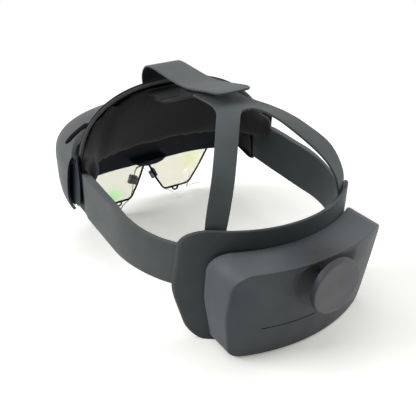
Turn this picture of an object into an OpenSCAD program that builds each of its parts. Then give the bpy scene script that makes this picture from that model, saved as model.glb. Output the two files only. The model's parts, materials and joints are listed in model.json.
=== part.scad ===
// See-through head-worn display with a rear battery pod and a fitting dial.
// Millimetres. The device frame has its origin at the centre of the dial's face,
// +X towards the wearer's left, -Y forward and +Z up. stand() then leans the whole
// device by ground_pitch, so that it rests on the rear pad and the visor's rim.

/* [Head fit] */
// Radius of the arc that the arms and the rear pad follow round the head
head_r = 90.5; // [89.5:0.5:90.5]
// Travel of the rear pod from the tightest fit to the loosest
fit_travel = 30; // [10:1:32]
// Height of the side arms
arm_h = 38; // [36:0.5:39]

/* [Rear pod] */
// Diameter of the fitting dial
dial_d = 40; // [34:1:42]
// Width of the pod across its widest point
pod_w = 132.4; // [126:0.2:136]
// Wall thickness of the pod's cover
pod_wall = 2.2; // [1.6:0.1:3]
// Radius of the pod's rear face, seen from above
pod_rear_r = 135; // [128:1:145]

/* [Visor] */
// Half width of the front shell
shell_a = 100; // [99.8:0.1:100.2]
// Depth of the front shell ahead of its widest section
shell_b = 80; // [80:0.5:82]
// Wall thickness of the front shell
shell_wall = 2.2; // [2.2:0.1:2.5]
// Thickness of the clear visor
visor_wall = 1.8; // [1.4:0.1:2]

/* [Overhead strap] */
// Half width of the strap's stem and of its folded flap
strap_half = 15; // [13:0.5:16]
// Thickness of the strap
strap_t = 1.6; // [1.2:0.1:1.8]

/* [Hidden] */
$fn = 64;

// How the device lies: lean about X, and where the device frame sits in the row frame
ground_pitch = 2.52;
ground_z = 55.7;
centre_y = 144.63;

// Front shell: a super-ellipsoid round [0, shell_y, shell_z]
shell_y = -210;
shell_z = 19;
shell_up = 31;
shell_down = 58;
shell_n = 2.2;
shell_m = 3.7;

// Visor hinge line, along X
hinge_y = -193;
hinge_z = 36;
hinge_r = 4;
pin_r = 1.5;
run_gap = 0.05;

// Cavity behind the optics, a super-ellipse seen from above
cavity_a = 92;
cavity_b = 55;
cavity_n = 3.5;
cavity_y = -205;
housing_floor = -17;

// Brow arch: the rim is a super-ellipse in a leaning plane
rim_a = 93.4;
rim_h = 62;
rim_n = 2.3;
rim_z = 16;
rim_lean = 0.5;
rim_y = -188;
brow_y = -185;
brow_a = 92;
brow_b = 66;
brow_low_z = 12;
brow_swell = 3;

// Lenses hang on one upright plane
lens_y = -262;
lens_t = 1.6;

// Arms and bands
band_t = 2.2;
band_gap = 0.4;
arm_x = head_r;
arm_mid_z = 4.5;
arm_front_y = -187;
arm_mouth_y = -131;
tongue_front_y = -174;
arc_y = -130.5;

// Rear pod and pad
pad_r = 95;
pad_base_t = 2.4;
pad_bottom = -62;
pod_front_r = 115;
pod_join_y = -35.5;
pod_rear_y = -9.7;
pod_lean = 7.2;

// Dial drive: a pinion between two racks
dial_t = 9.5;
disc_t = 5;
hub_r = 14;
shaft_r = 3.2;
gear_module = 1;
gear_teeth = 12;
gear_y = -31;
gear_t = 3;

function sgnpow(x, p) = sign(x) * pow(abs(x), p);
function unit(v) = v / norm(v);
function mix(a, b, k) = a * (1 - k) + b * k;

// A point of the super-ellipse |x/a|^n + |y/b|^n = 1, with t = 0 at the front
function plan_point(t, a, b, n) = [a * sgnpow(sin(t), 2 / n), -b * sgnpow(cos(t), 2 / n)];

// Arc that rounds the corner at p1 by radius r
function corner_arc(p0, p1, p2, r, steps = 6) =
    let (u = unit(p0 - p1), v = unit(p2 - p1), half = acos(u * v) / 2,
        c = p1 + unit(u + v) * r / sin(half), a = p1 + u * r / tan(half) - c,
        b = p1 + v * r / tan(half) - c, start = atan2(a.y, a.x),
        turn = atan2(a.x * b.y - a.y * b.x, a * b))
    [for (i = [0:steps]) c + r * [cos(start + turn * i / steps), sin(start + turn * i / steps)]];

// Polygon with every corner rounded by its own radius
function rounded(points, radii, steps = 6) =
    let (last = len(points))
    [for (i = [0:last - 1]) each corner_arc(points[(i + last - 1) % last], points[i],
        points[(i + 1) % last], radii[i], steps)];

// Closed sheet between two grids of points, with the same rows and columns
module sheet_solid(outer, inner) {
    rows = len(outer);
    cols = len(outer[0]);
    back = rows * cols;
    function id(r, c) = r * cols + c;
    function quad(a, b, c, d) = [[a, b, c], [a, c, d]];
    faces = concat(
        [for (r = [0:rows - 2], c = [0:cols - 2])
            each quad(id(r, c), id(r, c + 1), id(r + 1, c + 1), id(r + 1, c))],
        [for (r = [0:rows - 2], c = [0:cols - 2])
            each quad(back + id(r, c), back + id(r + 1, c), back + id(r + 1, c + 1), back + id(r, c + 1))],
        [for (c = [0:cols - 2])
            each quad(id(0, c + 1), id(0, c), back + id(0, c), back + id(0, c + 1))],
        [for (c = [0:cols - 2])
            each quad(id(rows - 1, c), id(rows - 1, c + 1),
                back + id(rows - 1, c + 1), back + id(rows - 1, c))],
        [for (r = [0:rows - 2])
            each quad(id(r, 0), id(r + 1, 0), back + id(r + 1, 0), back + id(r, 0))],
        [for (r = [0:rows - 2])
            each quad(id(r + 1, cols - 1), id(r, cols - 1),
                back + id(r, cols - 1), back + id(r + 1, cols - 1))]);
    polyhedron(concat([for (r = outer) each r], [for (r = inner) each r]), faces);
}

// Closed solid through a stack of rings
module ring_solid(rings) {
    count = len(rings);
    n = len(rings[0]);
    function id(r, c) = r * n + c % n;
    polyhedron([for (r = rings) each r], concat(
        [[for (c = [0:n - 1]) c]],
        [[for (c = [n - 1:-1:0]) id(count - 1, c)]],
        [for (r = [0:count - 2], c = [0:n - 1]) each
            [[id(r, c), id(r + 1, c), id(r + 1, c + 1)], [id(r, c), id(r + 1, c + 1), id(r, c + 1)]]]));
}

// The whole device, leaned and lifted onto the surface it rests on
module stand() translate([0, centre_y, ground_z]) rotate([-ground_pitch, 0, 0]) children();

// Everything above the surface, in the device frame
module above_ground() rotate([ground_pitch, 0, 0])
    translate([-150, -350, -ground_z]) cube([300, 500, 300]);

module both_sides() {
    children();
    mirror([1, 0, 0]) children();
}

// Upright plate seen from the side: a polygon of [y, z], between two x values
module side_plate(x0, x1) translate([x0, 0, 0]) rotate([90, 0, 90])
    linear_extrude(x1 - x0) children();

// Plate seen from behind: a polygon of [x, z], from y0 forward to y1
module back_plate(y0, y1) translate([0, y0, 0]) rotate([90, 0, 0])
    linear_extrude(y0 - y1) children();

// ---------------------------------------------------------------- visor unit

// Super-ellipsoid of the shell, shrunk by inset
module shell_dome(inset) {
    heights = [-45, -36, -28, -20, -11, 0, 14, 28, 40, 50, 60, 72, 84];
    function level(w) = w < 0 ? -(shell_down - inset) * pow(-sin(w), 2 / shell_m)
        : (shell_up - inset) * pow(sin(w), 2 / shell_m);
    ring_solid([for (w = heights) [for (i = [0:43])
        let (s = pow(cos(w), 2 / shell_m),
            p = plan_point(i * 360 / 44, shell_a - inset, shell_b - inset, shell_n) * s)
        [p.x, shell_y + p.y, shell_z + level(w)]]]);
}

// Height and depth of the brow rim at a given x
function rim_height(x) = rim_z + rim_h * pow(max(0, 1 - pow(abs(x) / rim_a, rim_n)), 1 / rim_n);
function rim_depth(x) = rim_y - rim_lean * (rim_height(x) - rim_z);
function brow_low_y(x) = brow_y - brow_b * sqrt(max(0, 1 - pow(x / (brow_a + 0.5), 2)));

// Radii about the hinge line that the visor unit has to keep clear
sweep_gap = 1.2;
loop_r = 62.8;
function rim_reach(x) = rim_height(x) < hinge_z ? 0 : norm([rim_depth(x) - hinge_y, rim_height(x) - hinge_z]);
function upper_sweep(x) = max(abs(x) <= strap_half + 3 ? loop_r : 0, rim_reach(x) + sweep_gap);
function lower_sweep(x) = norm([brow_low_y(x) - hinge_y, brow_low_z - 1 - hinge_z]) + sweep_gap;

module hinge_turned(profile) translate([0, hinge_y, hinge_z]) rotate([0, 90, 0])
    rotate_extrude($fn = 72) polygon(profile);

// Space that the brow arch fills when the visor unit flips up
module brow_sweep() {
    right = [18, 18.1, 30, 45, 60, 72, 82, 88, 92, 93.4];
    xs = concat([for (i = [len(right) - 1:-1:0]) -right[i]], [0], right);
    hinge_turned(concat([[0, -93.4]], [for (x = xs) [upper_sweep(x), x]], [[0, 93.4]]));
    intersection() {
        hinge_turned(concat([[0, -93.4]], [for (x = xs) [lower_sweep(x), x]], [[0, 93.4]]));
        translate([-100, -300, 0]) cube([200, 200, hinge_z]);
    }
}

module front_shell_outline() polygon([[-190, 60], [-198.4, 40], [-199.5, 30], [-204, 15.5],
    [-207.8, 0], [-209, -11], [-212, -18.5], [-216, -19], [-230, -16], [-246, -8], [-262, 3],
    [-278, 9], [-300, 11], [-300, 60]]);

// Slot for a rocker, in the shell's upper corner on the +X side
rocker_at = [79.8, -224.3, 44.6];
rocker_turn = -63;
rocker_lean = [-13, 11, 0];
rocker_len = 29;
rocker_w = 5.4;
module at_rocker() translate(rocker_at) rotate([0, 0, rocker_turn])
    rotate([0, rocker_lean.y, 0]) rotate([rocker_lean.x, 0, 0]) children();

module slot_shape(length, width) {
    square([width, length - width], center = true);
    for (s = [-1, 1]) translate([0, s * (length - width) / 2]) circle(d = width, $fn = 24);
}

module front_shell() color([0.27, 0.29, 0.29]) stand() difference() {
    intersection() {
        difference() {
            shell_dome(0);
            shell_dome(shell_wall);
        }
        side_plate(-110, 110) front_shell_outline();
    }
    brow_sweep();
    both_sides() at_rocker() translate([0, 0, -4])
        linear_extrude(14) slot_shape(rocker_len + 0.8, rocker_w + 0.8);
}

// Rear wall of the optics: the cavity's outline, grown by t
module cavity_plan(t) polygon([for (i = [0:71])
    plan_point(i * 5, cavity_a + t, cavity_b + t, cavity_n)]);
module cavity_block(t, z0, z1) translate([0, cavity_y, z0]) linear_extrude(z1 - z0) cavity_plan(t);

wing_x = 94;
module inner_housing() color([0.09, 0.1, 0.12]) stand() difference() {
    intersection() {
        shell_dome(shell_wall + 0.3);
        side_plate(-wing_x, wing_x) polygon([[-214, 40], [-216, 5], [-213, -13], [-217, housing_floor],
            [-262, housing_floor], [-278, -6], [-300, -2], [-300, 60], [-230, 60]]);
    }
    cavity_block(0, -40, 70);
    brow_sweep();
    difference() {
        intersection() {
            shell_dome(shell_wall + 2.1);
            translate([-wing_x + 2, -300, housing_floor + 2.4]) cube([2 * wing_x - 4, 90, 80]);
        }
        cavity_block(2.2, -40, 70);
    }
    translate([-52, -300, -3.5]) cube([104, 34, 60]);
    both_sides() {
        at_rocker() translate([-5, -18, -8]) cube([10, 36, 14]);
        translate([87.5, -262, -20]) cube([10, 45, 9]);
        at_visor_screws() translate([0, 0, -3.3]) cylinder(r = 1, h = 6);
    }
}

// Clear visor: its plan shrinks from the shell's size at the top to the rim
visor_top = 9;
visor_split = -12;
function visor_a(z) = z > -46 ? mix(shell_a + 0.6, 80, (visor_top - z) / 55) : mix(80, 70, (-46 - z) / 22);
function visor_b(z) = mix(shell_b + 0.8, 69, (visor_top - z) / 77);
function visor_n(z) = mix(shell_n, 3.4, (visor_top - z) / 77);
function visor_point(t, z, inset) =
    let (p = plan_point(t, visor_a(z) - inset, visor_b(z) - inset, visor_n(z)))
    [p.x, shell_y + p.y, z];

// Lower rim of the visor: a nose notch, two low lobes and a sweep up to the sides
function smooth(k) = let (c = min(1, max(0, k))) c * c * (3 - 2 * c);
function visor_rim(t) = let (d = abs(t))
    d < 14 ? mix(-38, -68.2, smooth(d / 14))
    : d < 50 ? mix(-68.2, -58.5, (d - 14) / 36) : mix(-58.5, -13, (d - 50) / 30);

module visor_band(angles, tops, bottoms, rows) sheet_solid(
    [for (r = [0:rows]) [for (i = [0:len(angles) - 1])
        visor_point(angles[i], mix(tops[i], bottoms[i], r / rows), 0)]],
    [for (r = [0:rows]) [for (i = [0:len(angles) - 1])
        visor_point(angles[i], mix(tops[i], bottoms[i], r / rows), visor_wall)]]);

module sensor_window() color([0.03, 0.03, 0.04]) stand() difference() {
    visor_band([for (i = [-14:14]) i * 5.4], [for (i = [-14:14]) visor_top - 0.2 - 22 * pow(abs(i) / 14, 3)],
        [for (i = [-14:14]) visor_split + 0.2 - 4 * pow(abs(i) / 14, 3)], 2);
    shell_dome(0);
}

module clear_visor() color([0.75, 0.8, 0.8, 0.3]) stand() intersection() {
    visor_band([for (i = [-26:26]) i * 3], [for (i = [-26:26]) visor_split - 4.5 * pow(abs(i) / 26, 3)],
        [for (i = [-26:26]) visor_rim(i * 3)], 4);
    above_ground();
}

// Lens outline on the +X side, as [x, z]
lens_points = [[2.5, -18], [7.5, -30], [11.6, -39], [19.5, -52.6], [47.5, -52.6], [59.3, -37.3], [71.5, -18]];
lens_radii = [0.5, 40, 40, 6, 8, 60, 0.5];
lens_frame_w = 1.5;
lens_frame_t = 2.8;
eyelet_x = 32.2;
eyelet_z = -54.6;

module lens_outline(grow)
    polygon(rounded([for (p = lens_points) p + grow * unit(p - [36, -28])], lens_radii));

module lens(side) color([0.8, 0.88, 0.8, 0.25]) stand() mirror([side < 0 ? 1 : 0, 0, 0])
    back_plate(lens_y + lens_t / 2, lens_y - lens_t / 2) lens_outline(-0.2);

module lens_frame(side) color([0.05, 0.05, 0.05]) stand() mirror([side < 0 ? 1 : 0, 0, 0])
    difference() {
        union() {
            back_plate(lens_y + lens_frame_t / 2, lens_y - lens_frame_t / 2) lens_outline(lens_frame_w);
            translate([eyelet_x, lens_y + lens_frame_t / 2, eyelet_z]) rotate([90, 0, 0])
                cylinder(r = 3, h = lens_frame_t);
        }
        back_plate(lens_y + 5, lens_y - 5) lens_outline(0);
        translate([-1, lens_y - 5, -19.5]) cube([90, 10, 10]);
        translate([eyelet_x, lens_y + 2, eyelet_z - 0.6]) rotate([90, 0, 0]) cylinder(r = 1.5, h = 4);
    }

// Eye tracker: a small camera ahead of the lens, on a foot that meets the lens frame
tracker_at = [12.5, -271, -37.5];
tracker_size = [8, 3.4, 8];
module eye_tracker(side) color([0.35, 0.37, 0.4]) stand() mirror([side < 0 ? 1 : 0, 0, 0]) {
    translate(tracker_at) rotate([0, -24, 0]) {
        translate(-tracker_size / 2) cube(tracker_size);
        translate([1, tracker_size.y / 2, 0]) rotate([-90, 0, 0]) cylinder(r = 2, h = 1);
    }
    translate([8.8, tracker_at.y + 1, -38]) cube([2.4, lens_y - lens_frame_t / 2 - tracker_at.y - 1, 3]);
}

module display_engine(side) color([0.3, 0.3, 0.32]) stand() mirror([side < 0 ? 1 : 0, 0, 0]) {
    translate([12, -275.8, -11]) cube([30, 11.8, 16]);
    translate([27, -264, -3]) rotate([-90, 0, 0]) cylinder(r = 4, h = 1);
}

// Sensor bar behind the dark window, with a pocket for each camera
track_x = [-46, -32, 32, 46];
bar_y = -279;
module sensor_bar() color([0.6, 0.6, 0.62]) stand() difference() {
    translate([-49, bar_y, -3]) cube([98, 3, 11.8]);
    for (x = concat(track_x, [-12, 6]))
        translate([x, bar_y - 1, 3]) rotate([-90, 0, 0]) cylinder(r = 3.05, h = 5);
}

module camera(x, r, length) translate([x, bar_y - length + 3, 3]) rotate([-90, 0, 0]) difference() {
    union() {
        cylinder(r = 3, h = length);
        cylinder(r = r, h = length - 3.2);
    }
    translate([0, 0, -0.1]) cylinder(r1 = r - 0.8, r2 = 1, h = 1.4);
}
module tracking_cameras() color([0.08, 0.08, 0.08]) stand() for (x = track_x) camera(x, 3, 4.4);
module depth_camera() color([0.1, 0.1, 0.12]) stand() camera(-12, 5, 7.4);
module colour_camera() color([0.1, 0.1, 0.12]) stand() camera(6, 4.5, 7.4);

module main_board() color([0.1, 0.3, 0.2]) stand() {
    translate([-40, -276, 13]) cube([80, 12, 1.6]);
    translate([-30, -274, 14.6]) cube([14, 8, 1.6]);
    translate([4, -274, 14.6]) cube([18, 8, 1.8]);
}
module heat_spreader() color([0.75, 0.75, 0.77]) stand() {
    translate([-42, -276, 17]) cube([84, 11, 1.2]);
    for (i = [0:12]) translate([-40 + i * 6.6, -276, 18.2]) cube([1, 11, 3]);
}
module microphones() color([0.7, 0.65, 0.4]) stand()
    for (x = [-58, -20, 0, 20, 58]) translate([x, abs(x) > 40 ? -262 : -274, abs(x) > 40 ? 20 : 24])
        cylinder(r = 2, h = 1.4, $fn = 24);

// Flip hinge: a steel arm on the visor turns on a pin in the headband's plate
plate_x0 = 90.4;
plate_x1 = 91.9;
flip_x0 = wing_x;
flip_x1 = 95.2;
module hinge_bore(r, x0, x1)
    translate([x0, hinge_y, hinge_z]) rotate([0, 90, 0]) cylinder(r = r, h = x1 - x0);

// Two small screws hold each hinge arm to the inner housing's wing
module at_visor_screws() for (p = [[-217.5, 8], [-220.5, 3.5]])
    translate([flip_x1, p.x, p.y]) rotate([0, 90, 0]) children();

module hinge_arm() color([0.12, 0.13, 0.15]) stand() difference() {
    union() {
        hinge_bore(hinge_r, flip_x0, flip_x1);
        side_plate(flip_x0, flip_x1) polygon([[hinge_y + 4, hinge_z], [-189.4, 18], [-193, -2], [-199, -7.5],
            [-215, -7.5], [-225, 2], [-226, 9], [-212, 24], [-199, 31], [hinge_y - 4, hinge_z]]);
    }
    at_visor_screws() translate([0, 0, -4]) cylinder(r = 1, h = 6);
    hinge_bore(pin_r + run_gap, 90, 99);
}
module left_hinge_arm() hinge_arm();
module right_hinge_arm() mirror([1, 0, 0]) hinge_arm();

module plate_shape(grow) offset(delta = grow) {
    translate([hinge_y, hinge_z]) circle(r = hinge_r);
    polygon([[hinge_y - 4, hinge_z], [-204, 12], [-206, -4], [-202, -11.5], [arm_front_y - 0.2, -13],
        [arm_front_y - 0.2, 22], [hinge_y + 4, hinge_z]]);
}
module hinge_plate() color([0.12, 0.13, 0.15]) stand() difference() {
    side_plate(plate_x0, plate_x1) plate_shape(0);
    hinge_bore(pin_r, 90, 99);
}
module left_hinge_plate() hinge_plate();
module right_hinge_plate() mirror([1, 0, 0]) hinge_plate();

module hinge_pin() color([0.7, 0.7, 0.72]) stand() {
    hinge_bore(pin_r, plate_x0 + 0.05, flip_x1 + 0.05);
}
module left_hinge_pin() hinge_pin();
module right_hinge_pin() mirror([1, 0, 0]) hinge_pin();

module visor_screws() color([0.1, 0.1, 0.11]) stand() both_sides() at_visor_screws() {
    cylinder(r = 1.5, h = 0.6);
    translate([0, 0, -3]) cylinder(r = 0.95, h = 3);
}

module rocker() color([0.02, 0.02, 0.02]) stand() at_rocker() translate([0, 0, -3.4])
    linear_extrude(4) slot_shape(rocker_len - 0.8, rocker_w - 0.8);
module brightness_rocker() rocker();
module volume_rocker() mirror([1, 0, 0]) rocker();

// ---------------------------------------------------------------- headband front

// Outer and inner faces of the brow arch; t runs from temple to temple, v from the
// lower edge to the rim, and depth goes from the outer face towards the head
function brow_swelled(low, top, t, v) =
    mix(low, top, v) + 4 * v * (1 - v) * brow_swell * [0, -cos(t), 0.4 * cos(t)];
function brow_outer(t, v) =
    let (low = [brow_a * sin(t), brow_y - brow_b * cos(t), brow_low_z],
        c = sgnpow(cos(t), 2 / rim_n),
        top = [rim_a * sgnpow(sin(t), 2 / rim_n), rim_y - rim_lean * rim_h * c, rim_z + rim_h * c])
    brow_swelled(low, top, t, v);
function brow_inner(t, v) =
    let (low = [(brow_a - 6) * sin(t), brow_y + 1 - (brow_b - 12) * cos(t), brow_low_z + 2],
        c = sgnpow(cos(t), 2 / rim_n),
        top = [(rim_a - 6) * sgnpow(sin(t), 2 / rim_n), rim_y + 1 - rim_lean * rim_h * c,
            rim_z - 1 + (rim_h - 7) * c])
    brow_swelled(low, top, t, v);
function brow_grid(k) = [for (r = [0:6]) [for (i = [-16:16])
    let (t = i * 5.4) mix(brow_outer(t, r / 6), brow_inner(t, r / 6), k)]];

strap_slot_z = 66;
module strap_slot()
    translate([-strap_half - 1.2, -250, strap_slot_z - 2.8]) cube([2 * strap_half + 2.4, 60, 6]);

// Pocket for the hinge plate, open to the outside
module plate_pocket() both_sides() side_plate(plate_x0 - 0.15, plate_x1 + 4) plate_shape(0.4);

// Magnets that hold the pad: discs let into its outer face
module at_magnets() both_sides() for (t = [24, 52])
    translate(mix(brow_outer(t, 0.35), brow_inner(t, 0.35), 0.25))
        rotate([0, 0, t]) rotate([-90, 0, 0]) rotate([-15, 0, 0]) children();

module brow_frame() color([0.2, 0.21, 0.22]) stand() difference() {
    sheet_solid(brow_grid(0.22), brow_grid(0));
    strap_slot();
    plate_pocket();
}
module brow_pad() color([0.13, 0.11, 0.11]) stand() difference() {
    sheet_solid(brow_grid(1), brow_grid(0.25));
    strap_slot();
    plate_pocket();
    at_magnets() translate([0, 0, -4]) cylinder(r = 4.2, h = 7);
}
module pad_magnets() color([0.7, 0.7, 0.72]) stand()
    at_magnets() translate([0, 0, 0.8]) cylinder(r = 4, h = 2);

// Side arms: a sleeve that the band of the rear pod slides in
sleeve_x0 = arm_x - 2.9;
sleeve_x1 = arm_x + 3.2;
module arm() color([0.27, 0.29, 0.29]) stand() difference() {
    translate([sleeve_x0, arm_front_y, arm_mid_z - arm_h / 2])
        cube([sleeve_x1 - sleeve_x0, arm_mouth_y - arm_front_y, arm_h]);
    translate([arm_x - band_t / 2 - band_gap, tongue_front_y - 0.8, arm_mid_z - arm_h / 2 + 1.7])
        cube([band_t + 2 * band_gap, 60, arm_h - 3.4]);
    translate([sleeve_x0 + 1, arm_front_y + 2, arm_mid_z - 13]) cube([4, 9.4, 26]);
}
module left_arm() arm();
module right_arm() mirror([1, 0, 0]) arm();

module speaker() color([0.12, 0.12, 0.12]) stand()
    translate([sleeve_x0 + 1.2, arm_front_y + 2.2, arm_mid_z - 12.8]) cube([3.6, 9, 25.6]);
module left_speaker() speaker();
module right_speaker() mirror([1, 0, 0]) speaker();

// Strips of strap: rows of [y, z] swept across the width
function spline(p, k, s) = 0.5 * (2 * p[k] + (p[k + 1] - p[k - 1]) * s
    + (2 * p[k - 1] - 5 * p[k] + 4 * p[k + 1] - p[k + 2]) * s * s
    + (3 * p[k] - p[k - 1] - 3 * p[k + 1] + p[k + 2]) * s * s * s);
function smooth_path(p, steps) = [for (k = [1:len(p) - 3], s = [0:steps - 1]) spline(p, k, s / steps)];
function along(path, i) = unit(path[min(len(path) - 1, i + 1)] - path[max(0, i - 1)]);

// Flap: from inside the arch through the slot, up round the rim and back over the stem
flap_route = [[-200, 66], [-207, 66], [-217, 66], [-226, 67.4], [-231.4, 75], [-229, 84.4], [-223.5, 88.8],
    [-214, 90.3], [-196, 89.2], [-178, 88.5], [-160, 88.8], [-142, 92], [-125, 95], [-115, 96]];
module strap_flap() color([0.27, 0.29, 0.29]) stand() {
    path = smooth_path(flap_route, 4);
    side_plate(-strap_half, strap_half) polygon(concat(
        [for (i = [0:len(path) - 1]) let (d = along(path, i)) path[i] + strap_t / 2 * [d.y, -d.x]],
        [for (i = [len(path) - 1:-1:0]) let (d = along(path, i)) path[i] - strap_t / 2 * [d.y, -d.x]]));
}

// ---------------------------------------------------------------- rear pod

pod_half = pod_w / 2;
pod_top = 18.7;
pod_floor = -56;
module pod_outline(inset) polygon(rounded(
    [[-pod_half + 1.7 + inset, pod_top - inset], [pod_half - 1.7 - inset, pod_top - inset],
        [pod_half - inset, -18], [pod_half - 4.7 - inset, pod_floor + inset],
        [-pod_half + 4.7 + inset, pod_floor + inset], [-pod_half + inset, -18]],
    [15, 15, 80, 9, 9, 80]));
module upright(r, y, z0 = -80, z1 = 60) translate([0, y, z0]) cylinder(r = r, h = z1 - z0, $fn = 180);
module pod_rear_round(inset) translate([0, pod_rear_y - pod_rear_r, pod_top]) rotate([-pod_lean, 0, 0])
    translate([0, 0, -100]) cylinder(r = pod_rear_r - inset, h = 140, $fn = 180);
module pod_solid(inset, front_r) difference() {
    intersection() {
        back_plate(0, -80) pod_outline(inset);
        pod_rear_round(inset);
    }
    upright(front_r, pod_join_y - pod_front_r);
}

dish_r = 66;
dish_depth = 8.5;
dish_lip = 1.6;
module dial_dish(grow) intersection() {
    translate([0, pod_rear_y - dish_depth + dish_r, 0]) sphere(r = dish_r + grow, $fn = 120);
    translate([-50, -80, -60]) cube([100, 160, 60 + pod_top + (grow > 0 ? 9 : -dish_lip)]);
}
module along_dial(r, y0, y1) translate([0, y0, 0]) rotate([90, 0, 0]) cylinder(r = r, h = y0 - y1);

// Line of the status light, and the controls under the pod's rear edge
light_z = -30.5;
light_x0 = 2;
light_x1 = 43;
button_at = [9, -24, pod_floor];
port_at = [-12, -24, pod_floor];

module rear_cover() color([0.25, 0.27, 0.28]) stand() difference() {
    pod_solid(0, pod_front_r);
    difference() {
        pod_solid(pod_wall, pod_front_r - 5);
        dial_dish(pod_wall);
        along_dial(9, 0, -26);
    }
    dial_dish(0);
    along_dial(5.5, 0, -40);
    translate([light_x0, -30, light_z]) cube([light_x1 - light_x0, 30, 1]);
    translate([button_at.x - 4.3, button_at.y - 1.8, pod_floor - 1]) cube([8.6, 3.6, 5]);
    translate([port_at.x - 5.2, port_at.y - 2.4, pod_floor - 1]) cube([10.4, 4.8, 5]);
}

// Four screws hold the pad, the spacers and the inner plate together
module at_screws() for (x = [-40, 40], z = [-40, 6]) translate([x, 0, z]) rotate([90, 0, 0]) children();
module screw_holes(r) at_screws() cylinder(r = r, h = 80);

module rear_inner_plate() color([0.16, 0.17, 0.18]) stand() difference() {
    intersection() {
        back_plate(-20, -80) pod_outline(pod_wall + 0.2);
        upright(pod_front_r + 2, pod_join_y - pod_front_r);
    }
    upright(pod_front_r, pod_join_y - pod_front_r);
    screw_holes(1.55);
}

// Spacers that fill the gap between the pod and the pad's base
module pod_mount_plate() color([0.18, 0.19, 0.2]) stand() difference() {
    intersection() {
        both_sides() back_plate(-30, -80)
            polygon(rounded([[20, 12], [56, 12], [56, -48], [20, -48]], [4, 8, 8, 4]));
        upright(pod_front_r - 0.05, pod_join_y - pod_front_r);
    }
    upright(pad_r + 0.05, pod_join_y - pad_r);
    screw_holes(1.55);
}

module pad_outline(inset) polygon(rounded(
    [[-74 + inset, 32.5 - inset], [74 - inset, 32.5 - inset], [78.4 - inset, -20],
        [70 - inset, pad_bottom + inset], [-70 + inset, pad_bottom + inset], [-78.4 + inset, -20]],
    [17, 17, 70, 19, 19, 70]));
module pad_layer(r_out, r_in, inset) intersection() {
    difference() {
        intersection() {
            back_plate(-20, -110) pad_outline(inset);
            upright(r_out, pod_join_y - pad_r);
        }
        upright(r_in, pod_join_y - pad_r);
    }
    above_ground();
}
module rear_pad_base() color([0.25, 0.27, 0.27]) stand() difference() {
    pad_layer(pad_r, pad_r - pad_base_t, 0);
    screw_holes(1.42);
}

// Bands: straight where the arm's sleeve takes them, then round the head into the pad
band_arc_t = 3.4;
band_arc_h = arm_h - 0.8;
band_end_angle = 58;
module band() color([0.27, 0.29, 0.29]) stand() {
    translate([arm_x - band_t / 2, tongue_front_y, arm_mid_z - arm_h / 2 + 2.2])
        cube([band_t, arc_y - tongue_front_y, arm_h - 4.4]);
    translate([0, arc_y, arm_mid_z - band_arc_h / 2 - 0.6]) rotate_extrude(angle = band_end_angle, $fn = 180)
        translate([head_r - band_arc_t / 2, 0]) square([band_arc_t, band_arc_h]);
}
module left_band() band();
module right_band() mirror([1, 0, 0]) band();

// Cushion: thin along its edge, full over the middle, with a channel for the bands
// and a pocket for each end of the strap's forks
cushion_r = 88;
cushion_mid_r = 84.5;
module cushion_outline(inset) polygon(rounded(
    [[-65 + inset, 31.5 - inset], [65 - inset, 31.5 - inset], [69 - inset, -20], [64 - inset, pad_bottom],
        [-64 + inset, pad_bottom], [-69 + inset, -20]], [16, 16, 70, 16, 16, 70]));
module cushion_layer(r_out, r_in, inset) difference() {
    intersection() {
        back_plate(-20, -110) cushion_outline(inset);
        upright(r_out, arc_y);
    }
    upright(r_in, arc_y);
}
module rear_pad() color([0.22, 0.23, 0.23]) stand() difference() {
    intersection() {
        union() {
            cushion_layer(pad_r - pad_base_t - 0.05, cushion_r, 0);
            cushion_layer(cushion_r + 1, cushion_mid_r, 8);
        }
        above_ground();
    }
    difference() {
        upright(pad_r, arc_y, arm_mid_z - band_arc_h / 2 - 1.2, arm_mid_z + band_arc_h / 2);
        upright(head_r - band_arc_t / 2 - 0.4, arc_y);
        translate([-44, -100, -60]) cube([88, 90, 120]);
    }
    difference() {
        both_sides() translate([47, -90, 22.8]) cube([19, 60, 20]);
        upright(head_r - 3, arc_y);
    }
}

// Overhead strap: one stem under the flap, then a fork to each side of the pad
strap_outer = [[15, -215, 64], [15, -206, 65], [15, -194, 67], [15, -182, 72], [15, -168, 80],
    [15, -154, 85.4], [15, -140, 86.2], [15.5, -125, 86.2], [20, -112, 85], [25, -105, 83.2], [31, -97, 80.2],
    [51, -71, 61], [59.5, -64, 41], [61.6, -63.6, 24.2], [61.6, -63.6, 20]];
strap_inner = [[-2, -215, 64], [-2, -206, 65], [-2, -194, 67], [-2, -182, 72], [-2, -168, 80],
    [-2, -154, 85.4], [-2, -140, 86.2], [-2, -120, 86.4], [-2, -105, 86.4], [6, -102.5, 86],
    [14, -93.5, 82.6], [36.5, -66, 59], [45.5, -57.5, 43], [51, -55.2, 24.2], [51, -55.2, 20]];
function strap_face(outer, inner, i) = unit(cross(outer[i] - inner[i],
    outer[min(len(outer) - 1, i + 1)] - outer[max(0, i - 1)]));
function strap_rows(outer, inner, offset) = [for (i = [0:len(outer) - 1]) [for (k = [0:2])
    mix(inner[i], outer[i], k / 2) + strap_face(outer, inner, i) * offset]];
module overhead_strap() color([0.27, 0.29, 0.29]) stand() {
    outer = smooth_path(strap_outer, 3);
    inner = smooth_path(strap_inner, 3);
    both_sides() intersection() {
        sheet_solid(strap_rows(outer, inner, -strap_t / 2), strap_rows(outer, inner, strap_t / 2));
        translate([0, -300, -100]) cube([100, 400, 300]);
    }
}

module battery(side) color([0.2, 0.25, 0.5]) stand() mirror([side < 0 ? 1 : 0, 0, 0])
    translate([8, -31, -46]) rotate([0, 0, -11]) cube([44, 6.5, 32]);

module rear_board() color([0.1, 0.3, 0.2]) stand() {
    translate([-24, -24, -46]) cube([48, 1.6, 12]);
    translate([-8, -22.4, -43]) cube([7, 1.2, 7]);
}

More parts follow.
